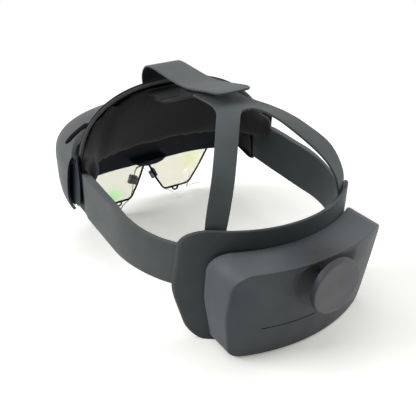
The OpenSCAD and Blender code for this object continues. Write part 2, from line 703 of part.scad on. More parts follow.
module dial_bush() color([0.75, 0.6, 0.3]) stand() difference() {
    union() {
        along_dial(5.45, -18.4, -26);
        along_dial(8, -26, -27.2);
    }
    along_dial(shaft_r + run_gap, 0, -40);
}

module dial() color([0.27, 0.26, 0.28]) stand() difference() {
    rotate([90, 0, 0]) rotate_extrude($fn = 128) polygon([[0, 0], [dial_d / 2 - 0.9, 0],
        [dial_d / 2 - 0.25, 0.25], [dial_d / 2, 0.9], [dial_d / 2, disc_t - 0.6], [dial_d / 2 - 0.6, disc_t],
        [hub_r, disc_t], [hub_r, dial_t], [0, dial_t]]);
    along_dial(shaft_r, -4, -12);
}
module dial_shaft() color([0.7, 0.7, 0.72]) stand()
    along_dial(shaft_r - 0.01, -4.02, gear_y - gear_t / 2 - 0.6);

// Involute outline of the pinion, thinned a little so that it runs freely
pitch_r = gear_module * gear_teeth / 2;
base_r = pitch_r * cos(20);
tip_r = pitch_r + 0.8 * gear_module;
root_r = pitch_r - 1.15 * gear_module;
function inv_angle(r) = let (a = acos(min(1, base_r / r))) tan(a) * 180 / PI - a;
half_tooth = 90 / gear_teeth * 0.8;
function tooth_side(s) = [for (k = s > 0 ? [4:-1:0] : [0:4])
    let (r = mix(base_r, tip_r, k / 4), a = s * (half_tooth + inv_angle(pitch_r) - inv_angle(r)))
    r * [cos(a), sin(a)]];
function turned(p, a) = [p.x * cos(a) - p.y * sin(a), p.x * sin(a) + p.y * cos(a)];
module pinion() color([0.8, 0.8, 0.75]) stand() difference() {
    back_plate(gear_y + gear_t / 2, gear_y - gear_t / 2) polygon([for (i = [0:gear_teeth - 1])
        each [for (p = concat([root_r * [cos(-half_tooth * 1.6), sin(-half_tooth * 1.6)]],
            tooth_side(-1), tooth_side(1), [root_r * [cos(half_tooth * 1.6), sin(half_tooth * 1.6)]]))
            turned(p, i * 360 / gear_teeth)]]);
    along_dial(shaft_r, -20, -40);
}

// Racks above and below the pinion; each starts 36 mm past the dial's axis
rack_back = 36;
rack_front = 27;
rack_pitch = PI * gear_module;
function rack_teeth(x0, x1) = [for (i = [ceil((x0 + 1) / rack_pitch):floor((x1 - 1) / rack_pitch)])
    each [for (q = [[-1.15, -1.02], [-0.72, 0.8], [0.72, 0.8], [1.15, -1.02]])
        [(i + 0.5) * rack_pitch + q.x * 0.72 * gear_module, -pitch_r + q.y * gear_module]]];
module rack_shape(x0, x1) polygon(concat([[x0, -pitch_r - 1.02], [x0, -pitch_r - 5]],
    [[x1, -pitch_r - 5], [x1, -pitch_r - 1.02]],
    [for (i = [len(rack_teeth(x0, x1)) - 1:-1:0]) rack_teeth(x0, x1)[i]]));
module left_rack() color([0.85, 0.85, 0.8]) stand()
    back_plate(gear_y + gear_t / 2, gear_y - gear_t / 2) rack_shape(-rack_back, rack_front);
module right_rack() color([0.85, 0.85, 0.8]) stand() rotate([0, 180, 0])
    back_plate(gear_y + gear_t / 2, gear_y - gear_t / 2) rack_shape(-rack_back, rack_front);

module rack_guide() color([0.3, 0.3, 0.32]) stand() {
    translate([-46, gear_y - gear_t / 2, pitch_r + 5.3]) cube([92, gear_t, 1.4]);
    translate([-46, gear_y - gear_t / 2, -pitch_r - 6.7]) cube([92, gear_t, 1.4]);
}

module usb_port() color([0.65, 0.65, 0.67]) stand() difference() {
    translate([port_at.x - 5, port_at.y - 2.2, pod_floor + 0.3]) cube([10, 4.4, 8]);
    translate([port_at.x - 4.2, port_at.y - 1.3, pod_floor]) cube([8.4, 2.6, 6.5]);
    translate([port_at.x - 3.3, port_at.y - 0.35, pod_floor]) cube([6.6, 0.7, 0.1]);
}

module status_light() color([0.06, 0.06, 0.06]) stand() intersection() {
    translate([light_x0 + 0.1, -30, light_z + 0.1]) cube([light_x1 - light_x0 - 0.2, 30, 0.8]);
    pod_rear_round(0.5);
    difference() {
        pod_rear_round(0);
        pod_rear_round(2);
    }
}

module rear_screws() color([0.6, 0.6, 0.62]) stand() at_screws() {
    translate([0, 0, 39.4]) cylinder(r = 1.4, h = 6, $fn = 24);
    translate([0, 0, 38.2]) cylinder(r = 2.4, h = 1.2, $fn = 24);
}

module power_button() color([0.12, 0.12, 0.12]) stand() {
    translate([button_at.x - 4, button_at.y - 1.5, pod_floor - 0.2]) cube([8, 3, 3.4]);
    translate([button_at.x - 5, button_at.y - 2.6, pod_floor + 3.2]) cube([10, 5.2, 1]);
}

front_shell();
inner_housing();
sensor_window();
clear_visor();
lens(1);  // left_lens
lens(-1);  // right_lens
lens_frame(1);  // left_lens_frame
lens_frame(-1);  // right_lens_frame
eye_tracker(1);  // left_eye_tracker
eye_tracker(-1);  // right_eye_tracker
display_engine(1);  // left_display_engine
display_engine(-1);  // right_display_engine
sensor_bar();
tracking_cameras();
depth_camera();
colour_camera();
main_board();
heat_spreader();
microphones();
left_hinge_arm();
right_hinge_arm();
visor_screws();
brightness_rocker();
volume_rocker();
brow_frame();
brow_pad();
left_hinge_plate();
right_hinge_plate();
left_hinge_pin();
right_hinge_pin();
left_arm();
right_arm();
left_speaker();
right_speaker();
strap_flap();
pad_magnets();
rear_cover();
rear_inner_plate();
pod_mount_plate();
rear_pad_base();
rear_pad();
left_band();
right_band();
overhead_strap();
battery(1);  // left_battery
battery(-1);  // right_battery
rear_board();
dial_bush();
rack_guide();
usb_port();
status_light();
rear_screws();
dial();
dial_shaft();
pinion();
left_rack();
right_rack();
power_button();
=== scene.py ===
"""Looks of a see-through head-worn display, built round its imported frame.

Pieces are laid out in the device frame, in millimetres: the origin is the centre of the
dial's face, +X is the wearer's left, -Y is forward and +Z is up. DEVICE_* take that into the
row frame, in metres.
"""

import json
import math

import bmesh
import bpy
import numpy as np
from mathutils import Matrix, Vector


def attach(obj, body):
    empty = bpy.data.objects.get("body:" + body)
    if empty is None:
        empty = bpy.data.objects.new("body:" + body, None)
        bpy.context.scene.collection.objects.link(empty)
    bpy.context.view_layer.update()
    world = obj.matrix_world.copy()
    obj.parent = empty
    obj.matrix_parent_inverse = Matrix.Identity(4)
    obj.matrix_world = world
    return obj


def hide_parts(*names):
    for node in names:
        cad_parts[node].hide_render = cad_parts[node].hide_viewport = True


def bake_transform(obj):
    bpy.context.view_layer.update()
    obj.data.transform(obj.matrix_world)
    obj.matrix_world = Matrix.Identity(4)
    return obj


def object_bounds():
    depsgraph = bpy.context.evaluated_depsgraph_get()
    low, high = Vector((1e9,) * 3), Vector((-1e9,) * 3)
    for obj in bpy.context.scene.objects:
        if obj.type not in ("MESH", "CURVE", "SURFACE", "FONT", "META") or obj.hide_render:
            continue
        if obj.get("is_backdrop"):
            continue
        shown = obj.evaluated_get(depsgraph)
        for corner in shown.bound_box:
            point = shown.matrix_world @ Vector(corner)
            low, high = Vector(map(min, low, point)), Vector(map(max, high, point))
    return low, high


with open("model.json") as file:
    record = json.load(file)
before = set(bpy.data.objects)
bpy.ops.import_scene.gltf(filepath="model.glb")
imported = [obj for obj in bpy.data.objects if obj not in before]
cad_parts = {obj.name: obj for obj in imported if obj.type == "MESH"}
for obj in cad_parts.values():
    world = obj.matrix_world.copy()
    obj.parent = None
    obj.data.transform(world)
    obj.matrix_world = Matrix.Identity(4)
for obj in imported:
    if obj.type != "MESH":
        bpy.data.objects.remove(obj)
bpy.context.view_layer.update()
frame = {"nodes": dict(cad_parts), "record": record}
joints = {j["name"]: j for j in frame["record"]["behaviour"]["joints"]}

MM = 0.001
dial_axis = Vector(joints["dial_turn"]["axis"])
DEVICE_TURN = Matrix((Vector((1, 0, 0)), dial_axis, Vector((1, 0, 0)).cross(dial_axis))).transposed()
DEVICE_AT = Vector(joints["dial_turn"]["pos_m"])
TURN = np.array(DEVICE_TURN)
PITCH = math.asin(-dial_axis.z)
GROUND = DEVICE_AT.z / MM


def to_row(points):
    """Device millimetres to row metres."""
    return np.asarray(points, float).reshape(-1, 3) @ TURN.T * MM + np.array(DEVICE_AT)


def row_point(x, y, z):
    return Vector(to_row([[x, y, z]])[0])


def ground_z(y):
    """Device height of the surface the headset rests on, at depth y."""
    return (y * math.sin(PITCH) - GROUND) / math.cos(PITCH)


# ---- materials


def srgb(r, g, b):
    """Colour as it looks on screen, 0 to 255, to linear."""
    return tuple((c / 255 / 12.92) if c <= 10 else ((c / 255 + 0.055) / 1.055) ** 2.4 for c in (r, g, b))


def add_node(tree, kind, links=(), **values):
    """A node of a tree: links are its sockets' sources, values its settings and socket values."""
    n = tree.nodes.new(kind)
    for key, value in values.items():
        if hasattr(n, key):
            setattr(n, key, value)
        else:
            n.inputs[key.replace("_", " ")].default_value = value
    for socket, source in dict(links).items():
        tree.links.new(source, n.inputs[socket])
    return n


class Shader:
    """A Principled material with procedural colour, roughness and bump."""

    def __init__(self, name, color, roughness, **sockets):
        self.material = bpy.data.materials.new(name)
        self.material.use_nodes = True
        self.nodes = self.material.node_tree.nodes
        self.links = self.material.node_tree.links
        self.bsdf = self.nodes["Principled BSDF"]
        for key, value in {"Base Color": (*color, 1), "Roughness": roughness, **sockets}.items():
            self.bsdf.inputs[key.replace("_", " ")].default_value = value
        self.coords = self.nodes.new("ShaderNodeTexCoord")
        self.color = color
        self.roughness = roughness
        self.height = None

    @classmethod
    def around(cls, material):
        """The shader of a material made earlier."""
        s = cls.__new__(cls)
        s.material, s.nodes, s.links = material, material.node_tree.nodes, material.node_tree.links
        s.bsdf = s.nodes["Principled BSDF"]
        s.coords = next(n for n in s.nodes if n.type == "TEX_COORD")
        return s

    def multiply(self, factor, amount):
        """Multiply the base colour by amount where factor is 1."""
        colour = self.bsdf.inputs["Base Color"].links[0].from_socket
        ramp = self.node("ShaderNodeMix", {"Factor": factor}, data_type="RGBA", blend_type="MULTIPLY")
        ramp.inputs["B"].default_value = (amount, amount, amount, 1)
        self.links.new(colour, ramp.inputs["A"])
        self.links.new(ramp.outputs["Result"], self.bsdf.inputs["Base Color"])

    def node(self, kind, links=(), **values):
        return add_node(self.material.node_tree, kind, links, **values)

    def math(self, operation, a, b=None):
        n = self.node("ShaderNodeMath", operation=operation)
        for i, v in enumerate([a, b]):
            if v is None:
                continue
            if isinstance(v, (int, float)):
                n.inputs[i].default_value = v
            else:
                self.links.new(v, n.inputs[i])
        return n.outputs[0]

    def noise(self, scale, detail=2.0, stretch=(1, 1, 1), low=0.0, high=1.0):
        place = self.node("ShaderNodeMapping", {"Vector": self.coords.outputs["Object"]}, Scale=stretch)
        n = self.node("ShaderNodeTexNoise", {"Vector": place.outputs[0]}, Scale=scale, Detail=detail)
        return self.node("ShaderNodeMapRange", {"Value": n.outputs[0]}, From_Min=0.3, From_Max=0.7,
                         To_Min=low, To_Max=high).outputs[0]

    def weave(self, per_metre):
        """Threads of a plain weave, as heights from 0 to 1."""
        axes = self.node("ShaderNodeSeparateXYZ", {"Vector": self.coords.outputs["Object"]})
        u = self.math("ADD", axes.outputs["X"], self.math("MULTIPLY", axes.outputs["Y"], 0.62))
        v = self.math("ADD", axes.outputs["Z"], self.math("MULTIPLY", axes.outputs["Y"], -0.31))
        waves = [self.math("SINE", self.math("MULTIPLY", k, per_metre * 2 * math.pi)) for k in (u, v)]
        return self.math("ABSOLUTE", self.math("MULTIPLY", *waves))

    def near(self, centre, radius):
        """1 at a device point, falling to 0 at radius millimetres."""
        links = {0: self.coords.outputs["Object"]}
        away = self.node("ShaderNodeVectorMath", links, operation="DISTANCE")
        away.inputs[1].default_value = row_point(*centre)
        return self.node("ShaderNodeMapRange", {"Value": away.outputs["Value"]}, From_Min=radius * MM,
                         From_Max=0.0, interpolation_type="SMOOTHSTEP").outputs[0]

    def shade(self, factor, darker, lighter):
        """Base colour between two multiples of the material's colour."""
        ramp = self.node("ShaderNodeMix", {"Factor": factor}, data_type="RGBA")
        ramp.inputs["A"].default_value = (*[c * darker for c in self.color], 1)
        ramp.inputs["B"].default_value = (*[c * lighter for c in self.color], 1)
        self.links.new(ramp.outputs["Result"], self.bsdf.inputs["Base Color"])

    def rough(self, factor, spread):
        base = self.math("MULTIPLY", factor, spread)
        self.links.new(self.math("ADD", base, self.roughness - spread / 2), self.bsdf.inputs["Roughness"])

    def bump(self, height, distance, strength=1.0):
        links = {"Height": height}
        b = self.node("ShaderNodeBump", links, Strength=strength, Distance=distance)
        if self.height is not None:
            self.links.new(self.height, b.inputs["Normal"])
        self.height = b.outputs[0]
        self.links.new(self.height, self.bsdf.inputs["Normal"])


def soft_touch(name, color, roughness=0.62, grain=1.0):
    """Matte rubbery coating: a very fine grain, faint smudges and a soft sheen."""
    s = Shader(name, color, roughness, Sheen_Weight=0.12, Sheen_Roughness=0.4)
    s.shade(s.noise(38, 3), 0.93, 1.07)
    s.rough(s.noise(55, 2), 0.12)
    s.bump(s.noise(5200, 1), 0.00003 * grain, 0.5)
    return s.material


def moulded(name, color, roughness=0.45, **sockets):
    """Moulded plastic: fine spark-eroded grain and slight variation."""
    s = Shader(name, color, roughness, **sockets)
    s.shade(s.noise(60, 2), 0.9, 1.1)
    s.rough(s.noise(90, 2), 0.1)
    s.bump(s.noise(3800, 1), 0.00002, 0.4)
    return s.material


def cloth(name, color, roughness=0.85, per_metre=900, sheen=0.25):
    """Fine woven cover over foam."""
    s = Shader(name, color, roughness, Sheen_Weight=sheen, Sheen_Roughness=0.45)
    threads = s.weave(per_metre)
    s.shade(s.math("MULTIPLY", threads, s.noise(260, 2, low=0.5, high=1.0)), 0.75, 1.3)
    s.bump(threads, 0.00018, 0.6)
    s.bump(s.noise(140, 3), 0.0003, 0.35)
    return s.material


def metal(name, color, roughness=0.35, stretch=(1, 18, 1)):
    s = Shader(name, color, roughness, Metallic=1.0)
    s.shade(s.noise(300, 2, stretch), 0.92, 1.08)
    s.rough(s.noise(500, 2, stretch), 0.16)
    s.bump(s.noise(900, 1, stretch), 0.00001, 0.4)
    return s.material


def clear(name, tint):
    """Clear plastic. Faint smears break up its gloss."""
    s = Shader(name, tint, 0.03, Transmission_Weight=1.0, IOR=1.45)
    s.rough(s.noise(40, 2), 0.03)
    return s.material


def waveguide(name, tint, glow, centre, radius):
    """Lens glass with a faint overall tint and a painted patch of diffracted light at a fixed spot."""
    s = Shader(name, tint, 0.04, Transmission_Weight=1.0, IOR=1.3)
    ramp = s.node("ShaderNodeMix", {"Factor": s.near(centre, radius)}, data_type="RGBA")
    ramp.inputs["A"].default_value = (*tint, 1)
    ramp.inputs["B"].default_value = (*glow, 1)
    s.links.new(ramp.outputs["Result"], s.bsdf.inputs["Base Color"])
    s.rough(s.noise(60, 2), 0.04)
    return s.material


SHELL = soft_touch("shell_coating", srgb(82, 86, 87))
ARM = soft_touch("arm_rubber", srgb(77, 83, 83), 0.66)
# painted shade: a darker coating for the bands' inward faces, which lie in shade
ARM_INNER_SHADE = soft_touch("arm_inner_painted_shade", srgb(52, 60, 62), 0.7)
STRAP = soft_touch("strap_coating", srgb(74, 80, 81), 0.7, 1.5)
# painted shade: near-black cloth for strap faces that lie in shade under and inside the flap
STRAP_SHADE = cloth("strap_painted_shade", srgb(20, 23, 28), per_metre=1500, sheen=0.05)
POD = soft_touch("pod_coating", srgb(79, 84, 88))
PAD_BASE = soft_touch("pad_base_rubber", srgb(53, 59, 61), 0.68)
CUSHION = cloth("rear_cushion_cover", srgb(40, 44, 48), per_metre=1100)
BROW = cloth("brow_cushion_cover", srgb(26, 24, 26), per_metre=800, sheen=0.12)
RIM = cloth("brow_rim_binding", srgb(92, 90, 92), per_metre=1300, sheen=0.3)
DARK = moulded("dark_frame_plastic", srgb(20, 23, 28), 0.5, Specular_IOR_Level=0.25)
HOUSING = moulded("optics_housing_plastic", srgb(16, 25, 34), 0.5, Specular_IOR_Level=0.2)
BLACK = moulded("black_plastic", srgb(9, 9, 11), 0.7, Specular_IOR_Level=0.06)
WINDOW = moulded("smoked_window", srgb(12, 12, 14), 0.12, Coat_Weight=0.5)
DIAL = moulded("dial_plastic", srgb(106, 105, 110), 0.42)
# painted shade: a darker colour for the dial's side, which stands in shade
DIAL_SIDE_SHADE = moulded("dial_side_painted_shade", srgb(62, 62, 70), 0.5, Specular_IOR_Level=0.3)
TRACKER = moulded("tracker_plastic", srgb(132, 138, 150), 0.5)
RACK = moulded("acetal", srgb(205, 203, 196), 0.45)
BOARD = moulded("solder_mask", srgb(22, 78, 52), 0.35)
STEEL = metal("brushed_steel", srgb(176, 177, 180))
ALLOY = metal("satin_alloy", srgb(198, 199, 202), 0.45)
BRASS = metal("turned_brass", srgb(196, 160, 92), 0.3, (1, 1, 14))
CLEAR = clear("clear_visor_plastic", (0.955, 0.965, 0.955))
CLEAR_EDGE = moulded("visor_edge_plastic", srgb(150, 152, 150), 0.3, Transmission_Weight=0.1)
# painted light: each lens has a fixed patch of diffracted colour painted in, green on the near lens and
# yellow on the far
LENS_NEAR = waveguide("lens_glass_painted_green_diffraction", (0.7, 0.69, 0.6), (0.4, 0.76, 0.33), (38, -262, -46), 14)
LENS_FAR = waveguide("lens_glass_painted_yellow_diffraction", (0.74, 0.72, 0.62), (0.7, 0.74, 0.42), (-48, -262, -26), 17)


def painted_shade_near(material, centre, radius, factor):
    """Painted shade: the coating's colour, falling to factor of itself near a device point."""
    s = Shader.around(material)
    s.multiply(s.near(centre, radius), factor)


# painted shade: the pod's face is darkened round the dial, where its recess lies in shade
painted_shade_near(POD, (7, -13, 13), 38, 0.05)

MATERIAL_OF_SLOT = {
    "shell": SHELL, "band": ARM, "strap": STRAP, "pod": POD, "cushion": CUSHION,
    "brow_cushion": BROW, "dark_frame": DARK, "optics_housing": HOUSING, "window": WINDOW,
    "clear": CLEAR, "lens": LENS_NEAR, "lens_rim": BLACK, "tracker": TRACKER, "engine": ALLOY,
    "camera": WINDOW, "board": BOARD, "metal": STEEL, "spreader": ALLOY,
    "black_plastic": BLACK, "dial": DIAL, "rack": RACK, "bush": BRASS, "cell": ALLOY,
}

# ---- mesh tools


def add_mesh(name, verts, faces, material, device=True):
    mesh = bpy.data.meshes.new(name)
    mesh.from_pydata((to_row(verts) if device else np.asarray(verts)).tolist(), [], [list(f) for f in faces])
    mesh.validate()
    mesh.update()
    mesh.materials.append(material)
    obj = bpy.data.objects.new(name, mesh)
    bpy.context.scene.collection.objects.link(obj)
    return obj


def settle(obj, angle=35):
    """Applies the modifiers and shades smooth, but for edges sharper than angle."""
    depsgraph = bpy.context.evaluated_depsgraph_get()
    mesh = bpy.data.meshes.new_from_object(obj.evaluated_get(depsgraph))
    obj.modifiers.clear()
    obj.data = mesh
    mesh.shade_smooth()
    mesh.set_sharp_from_angle(angle=math.radians(angle))
    return obj


def modifier(obj, kind, **values):
    m = obj.modifiers.new(kind.lower(), kind)
    for key, value in values.items():
        setattr(m, key, value)
    return m


def rounded_edges(obj, width, angle=40, segments=3):
    modifier(obj, "BEVEL", width=width * MM, segments=segments, limit_method="ANGLE",
             angle_limit=math.radians(angle), harden_normals=False)
    return obj


def grid_faces(rows, cols, wrap=False, start=0):
    last = cols if wrap else cols - 1
    return [
        (start + r * cols + c, start + r * cols + (c + 1) % cols,
         start + (r + 1) * cols + (c + 1) % cols, start + (r + 1) * cols + c)
        for r in range(rows - 1)
        for c in range(last)
    ]


def closed_sheet(outer, inner, wrap=False):
    """Verts and faces of the solid between two grids of the same size."""
    rows, cols = outer.shape[:2]
    back = rows * cols
    faces = grid_faces(rows, cols, wrap)
    faces += [tuple(back + i for i in reversed(f)) for f in grid_faces(rows, cols, wrap)]
    ring = list(range(cols)) + ([0] if wrap else [])
    for a, b in zip(ring, ring[1:]):
        faces.append((b, a, back + a, back + b))
        top = (rows - 1) * cols
        faces.append((top + a, top + b, back + top + b, back + top + a))
    if not wrap:
        for r in range(rows - 1):
            a, b = r * cols, (r + 1) * cols
            faces.append((a, b, back + b, back + a))
            a, b = a + cols - 1, b + cols - 1
            faces.append((b, a, back + a, back + b))
    verts = np.concatenate([outer.reshape(-1, 3), inner.reshape(-1, 3)])
    return verts, faces


def tube_rings(rings):
    """Closed solid through rings of points: verts and faces, with flat ends."""
    rings = np.asarray(rings)
    rows, cols = rings.shape[:2]
    faces = grid_faces(rows, cols, wrap=True)
    faces.append(tuple(reversed(range(cols))))
    faces.append(tuple((rows - 1) * cols + c for c in range(cols)))
    return rings.reshape(-1, 3), faces


def round_tube(spine, radius, steps=14):
    """Rings of a round tube along a spine, thinning to nothing over its last few points."""
    along = np.gradient(spine, axis=0)
    along /= np.linalg.norm(along, axis=1, keepdims=True)
    side = np.cross(along, [0, 0.6, 0.8])
    side /= np.linalg.norm(side, axis=1, keepdims=True)
    up = np.cross(side, along)
    rings = []
    for i, p in enumerate(spine):
        end = min(1, (min(i, len(spine) - 1 - i) + 0.15) / 3)
        r = radius * math.sqrt(1 - (1 - end) ** 2)
        rings.append([p + r * (side[i] * math.cos(a) + up[i] * math.sin(a))
                      for a in full_turn(steps)])
    return rings


def outward(obj):
    """Turns every face outward."""
    bm = bmesh.new()
    bm.from_mesh(obj.data)
    bmesh.ops.remove_doubles(bm, verts=bm.verts, dist=1e-6)
    bmesh.ops.recalc_face_normals(bm, faces=bm.faces)
    bm.to_mesh(obj.data)
    bm.free()
    return obj


def tube(name, rings, material):
    return outward(add_mesh(name, *tube_rings(rings), material))


def paint(obj, material, chosen):
    """Give the faces for which chosen(device centre, device normal) holds another material."""
    obj.data.materials.append(material)
    for polygon in obj.data.polygons:
        centre = ((np.array(polygon.center) - np.array(DEVICE_AT)) @ TURN) / MM
        if chosen(centre, np.array(polygon.normal) @ TURN):
            polygon.material_index = len(obj.data.materials) - 1


def to_device(obj):
    """An object's vertices in device millimetres."""
    spots = np.empty(len(obj.data.vertices) * 3)
    obj.data.vertices.foreach_get("co", spots)
    return (spots.reshape(-1, 3) - np.array(DEVICE_AT)) @ TURN / MM


FILL_FRAMES, FILL_VOXEL, FILL_PRESSURE = 20, 0.0045, 4.0


def filled(obj, head, cap, keep):
    """The cushion with its cover blown out by its filling, by a cloth simulation. The cover moves
    only on the side that faces head, by at most cap millimetres, and keep clamps its points."""
    settle(obj, 60)
    modifier(obj, "REMESH", mode="VOXEL", voxel_size=FILL_VOXEL)
    modifier(obj, "SMOOTH", factor=0.5, iterations=2)
    settle(obj, 60)
    base = to_device(obj)
    normals = np.array([v.normal for v in obj.data.vertices]) @ TURN
    cloth_cover = obj.modifiers.new("cover", "CLOTH")
    cover = cloth_cover.settings
    cover.quality = 6
    cover.mass = 0.3
    cover.tension_stiffness = cover.compression_stiffness = 12
    cover.bending_stiffness = 2
    cover.use_pressure = True
    cover.uniform_pressure_force = FILL_PRESSURE
    cover.effector_weights.gravity = 0
    cloth_cover.point_cache.frame_start = 1
    cloth_cover.point_cache.frame_end = FILL_FRAMES
    for step in range(1, FILL_FRAMES + 1):
        bpy.context.scene.frame_set(step)
    evaluated = obj.evaluated_get(bpy.context.evaluated_depsgraph_get())
    puffed = np.array([v.co for v in evaluated.data.vertices])
    obj.modifiers.remove(cloth_cover)
    bpy.context.scene.frame_set(1)
    moved = (puffed - np.array(DEVICE_AT)) @ TURN / MM - base
    length = np.linalg.norm(moved, axis=1, keepdims=True)
    moved *= np.minimum(1, cap / np.maximum(length, 1e-6))
    facing = head - base
    facing /= np.linalg.norm(facing, axis=1, keepdims=True)
    base = base + moved * smooth(np.sum(normals * facing, axis=1) / 0.5)[:, None]
    obj.data.vertices.foreach_set("co", to_row(keep(base)).ravel())
    obj.data.update()
    modifier(obj, "SMOOTH", factor=0.5, iterations=5)
    modifier(obj, "SUBSURF", levels=1, render_levels=1)
    return settle(obj, 60)


def declare(obj, body, *nodes, slot=None):
    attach(obj, body)
    if nodes:
        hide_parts(*nodes)
    return obj


def corner_arcs(points, radii, steps=10):
    """Closed outline with each corner rounded by its own radius."""
    points = [np.asarray(p, float) for p in points]
    out = []
    for i, p1 in enumerate(points):
        p0, p2, r = points[i - 1], points[(i + 1) % len(points)], radii[i]
        u, v = p0 - p1, p2 - p1
        u, v = u / np.linalg.norm(u), v / np.linalg.norm(v)
        half = math.acos(float(np.clip(u @ v, -1, 1))) / 2
        w = u + v
        centre = p1 + w / np.linalg.norm(w) * r / math.sin(half)
        a = p1 + u * r / math.tan(half) - centre
        b = p1 + v * r / math.tan(half) - centre
        start = math.atan2(a[1], a[0])
        turn = math.atan2(a[0] * b[1] - a[1] * b[0], a @ b)
        for k in range(steps + 1):
            t = start + turn * k / steps
            out.append(centre + r * np.array([math.cos(t), math.sin(t)]))
    return np.array(out)


def resampled(points, count, closed=False):
    """Points spread evenly along a polyline."""
    p = np.asarray(points, float)
    if closed:
        p = np.vstack([p, p[:1]])
    s = np.concatenate([[0], np.cumsum(np.linalg.norm(np.diff(p, axis=0), axis=1))])
    at = np.linspace(0, s[-1], count, endpoint=not closed)
    return np.stack([np.interp(at, s, p[:, k]) for k in range(p.shape[1])], axis=1)


def spline(points, steps=8):
    """Catmull-Rom curve through all the points."""
    p = np.asarray(points, float)
    p = np.vstack([2 * p[0] - p[1], p, 2 * p[-1] - p[-2]])
    out = []
    for k in range(1, len(p) - 2):
        for i in range(steps):
            s = i / steps
            out.append(
                0.5 * (2 * p[k] + (p[k + 1] - p[k - 1]) * s
                       + (2 * p[k - 1] - 5 * p[k] + 4 * p[k + 1] - p[k + 2]) * s * s
                       + (3 * p[k] - p[k - 1] - 3 * p[k + 1] + p[k + 2]) * s ** 3)
            )
    return np.array(out + [p[-2]])


def full_turn(steps):
    return np.linspace(0, 2 * math.pi, steps, endpoint=False)


def sgnpow(x, p):
    return np.sign(x) * np.abs(x) ** p


def smooth(k):
    k = np.clip(k, 0, 1)
    return k * k * (3 - 2 * k)


def plate(name, outline, y0, y1, material, edge=0.3):
    """Upright plate: an outline of (x, z) between two depths."""
    rings = [[(x, y, z) for x, z in outline] for y in (y0, y1)]
    verts, faces = tube_rings(rings)
    return settle(rounded_edges(outward(add_mesh(name, verts, faces, material)), edge, 50, 2))


# ---- front shell

SHELL_Y, SHELL_Z = -210, 19
SHELL_A, SHELL_B, SHELL_UP, SHELL_DOWN = 100, 80, 31, 58
SHELL_N, SHELL_M = 2.2, 3.7
SHELL_WALL = 2.2
HINGE_Y, HINGE_Z = -193, 36
RIM_A, RIM_H, RIM_N, RIM_Z, RIM_Y, RIM_LEAN = 93.4, 62, 2.3, 16, -188, 0.5
BROW_Y = -185


def dome(d, inset):
    """Points of the shell's surface in the directions d from its middle."""
    a, b = SHELL_A - inset, SHELL_B - inset
    c = np.where(d[..., 2] >= 0, SHELL_UP - inset, SHELL_DOWN - inset)
    f = (np.abs(d[..., 0] / a) ** SHELL_N + np.abs(d[..., 1] / b) ** SHELL_N) ** (SHELL_M / SHELL_N)
    f = f + np.abs(d[..., 2] / c) ** SHELL_M
    return np.array([0, SHELL_Y, SHELL_Z]) + d * (f ** (-1 / SHELL_M))[..., None]


def rim_reach(x):
    """Distance from the hinge line to the brow's rim, at x, where the rim is above it."""
    h = RIM_H * np.maximum(0, 1 - (np.abs(x) / RIM_A) ** RIM_N) ** (1 / RIM_N)
    return np.where(RIM_Z + h < HINGE_Z, 0, np.hypot(RIM_Y - RIM_LEAN * h - HINGE_Y, RIM_Z + h - HINGE_Z))


REAR_EDGE = np.array([[-190, 60], [-198.4, 40], [-199.5, 30], [-204, 15.5], [-207.8, 0], [-209.2, -11],
                      [-212.5, -17.6]])
LOW_EDGE = np.array([[-330, 11.5], [-300, 11], [-278, 9], [-262, 3], [-246, -8], [-230, -16], [-216, -19],
                     [-205, -19.5]])


def shell_kept(p):
    x, y, z = p[..., 0], p[..., 1], p[..., 2]
    radius = np.hypot(y - HINGE_Y, z - HINGE_Z)
    notch = 62.6 - 13 * smooth((np.abs(x) - 18) / 6)
    reach = np.maximum(rim_reach(x) + 1.2, np.where(np.abs(x) < 24, notch, 0))
    rear = np.interp(z, REAR_EDGE[::-1, 1], REAR_EDGE[::-1, 0])
    low = np.interp(y, LOW_EDGE[:, 0], LOW_EDGE[:, 1])
    return (y < rear) & (z > low) & ((radius > reach) | (z < 20))


def shell_grid(columns=420, rows=70):
    pole = np.array([0, -0.7, 0.7]) / math.hypot(0.7, 0.7)
    side = np.array([1.0, 0, 0])
    up = np.cross(side, pole)
    squash = np.array([SHELL_A, SHELL_B, 45])
    phi = full_turn(columns)
    around = np.cos(phi)[:, None] * side + np.sin(phi)[:, None] * up

    def at(alpha, inset=0):
        d = np.cos(alpha)[..., None] * pole + np.sin(alpha)[..., None] * around
        return dome(d * squash, inset)

    fine = np.linspace(0, 2.4, 240)
    kept = np.array([shell_kept(at(np.full(columns, a))) for a in fine])
    first = np.argmin(kept, axis=0)
    low = fine[first - 1]
    high = fine[first]
    for _ in range(20):
        middle = (low + high) / 2
        inside = shell_kept(at(middle))
        low, high = np.where(inside, middle, low), np.where(inside, high, middle)
    # the edge is smoothed along its length, so that corners come out rounded
    edge = low
    for _ in range(3):
        edge = np.minimum(edge, (np.roll(edge, 1) + 2 * edge + np.roll(edge, -1)) / 4 + 0.0005)
    grid = [at(edge * k) for k in np.linspace(0.02, 1, rows)]
    inner = [at(edge * k, SHELL_WALL) for k in np.linspace(0.02, 1, rows)]
    return np.array(grid), np.array(inner)


ROCKER_AT = np.array([79.8, -224.3, 44.6])
ROCKER_LEN, ROCKER_W = 29, 5.4


def rocker_frame():
    turn = Matrix.Rotation(math.radians(-63), 3, "Z")
    lean = Matrix.Rotation(math.radians(11), 3, "Y") @ Matrix.Rotation(math.radians(-13), 3, "X")
    return np.array(turn @ lean)


def stadium(length, width, steps=14):
    s = (length - width) / 2
    half = np.linspace(0, math.pi, steps + 1)
    top = [(width / 2 * math.cos(a), s + width / 2 * math.sin(a)) for a in half]
    return np.array(top + [(-x, -y) for x, y in top])


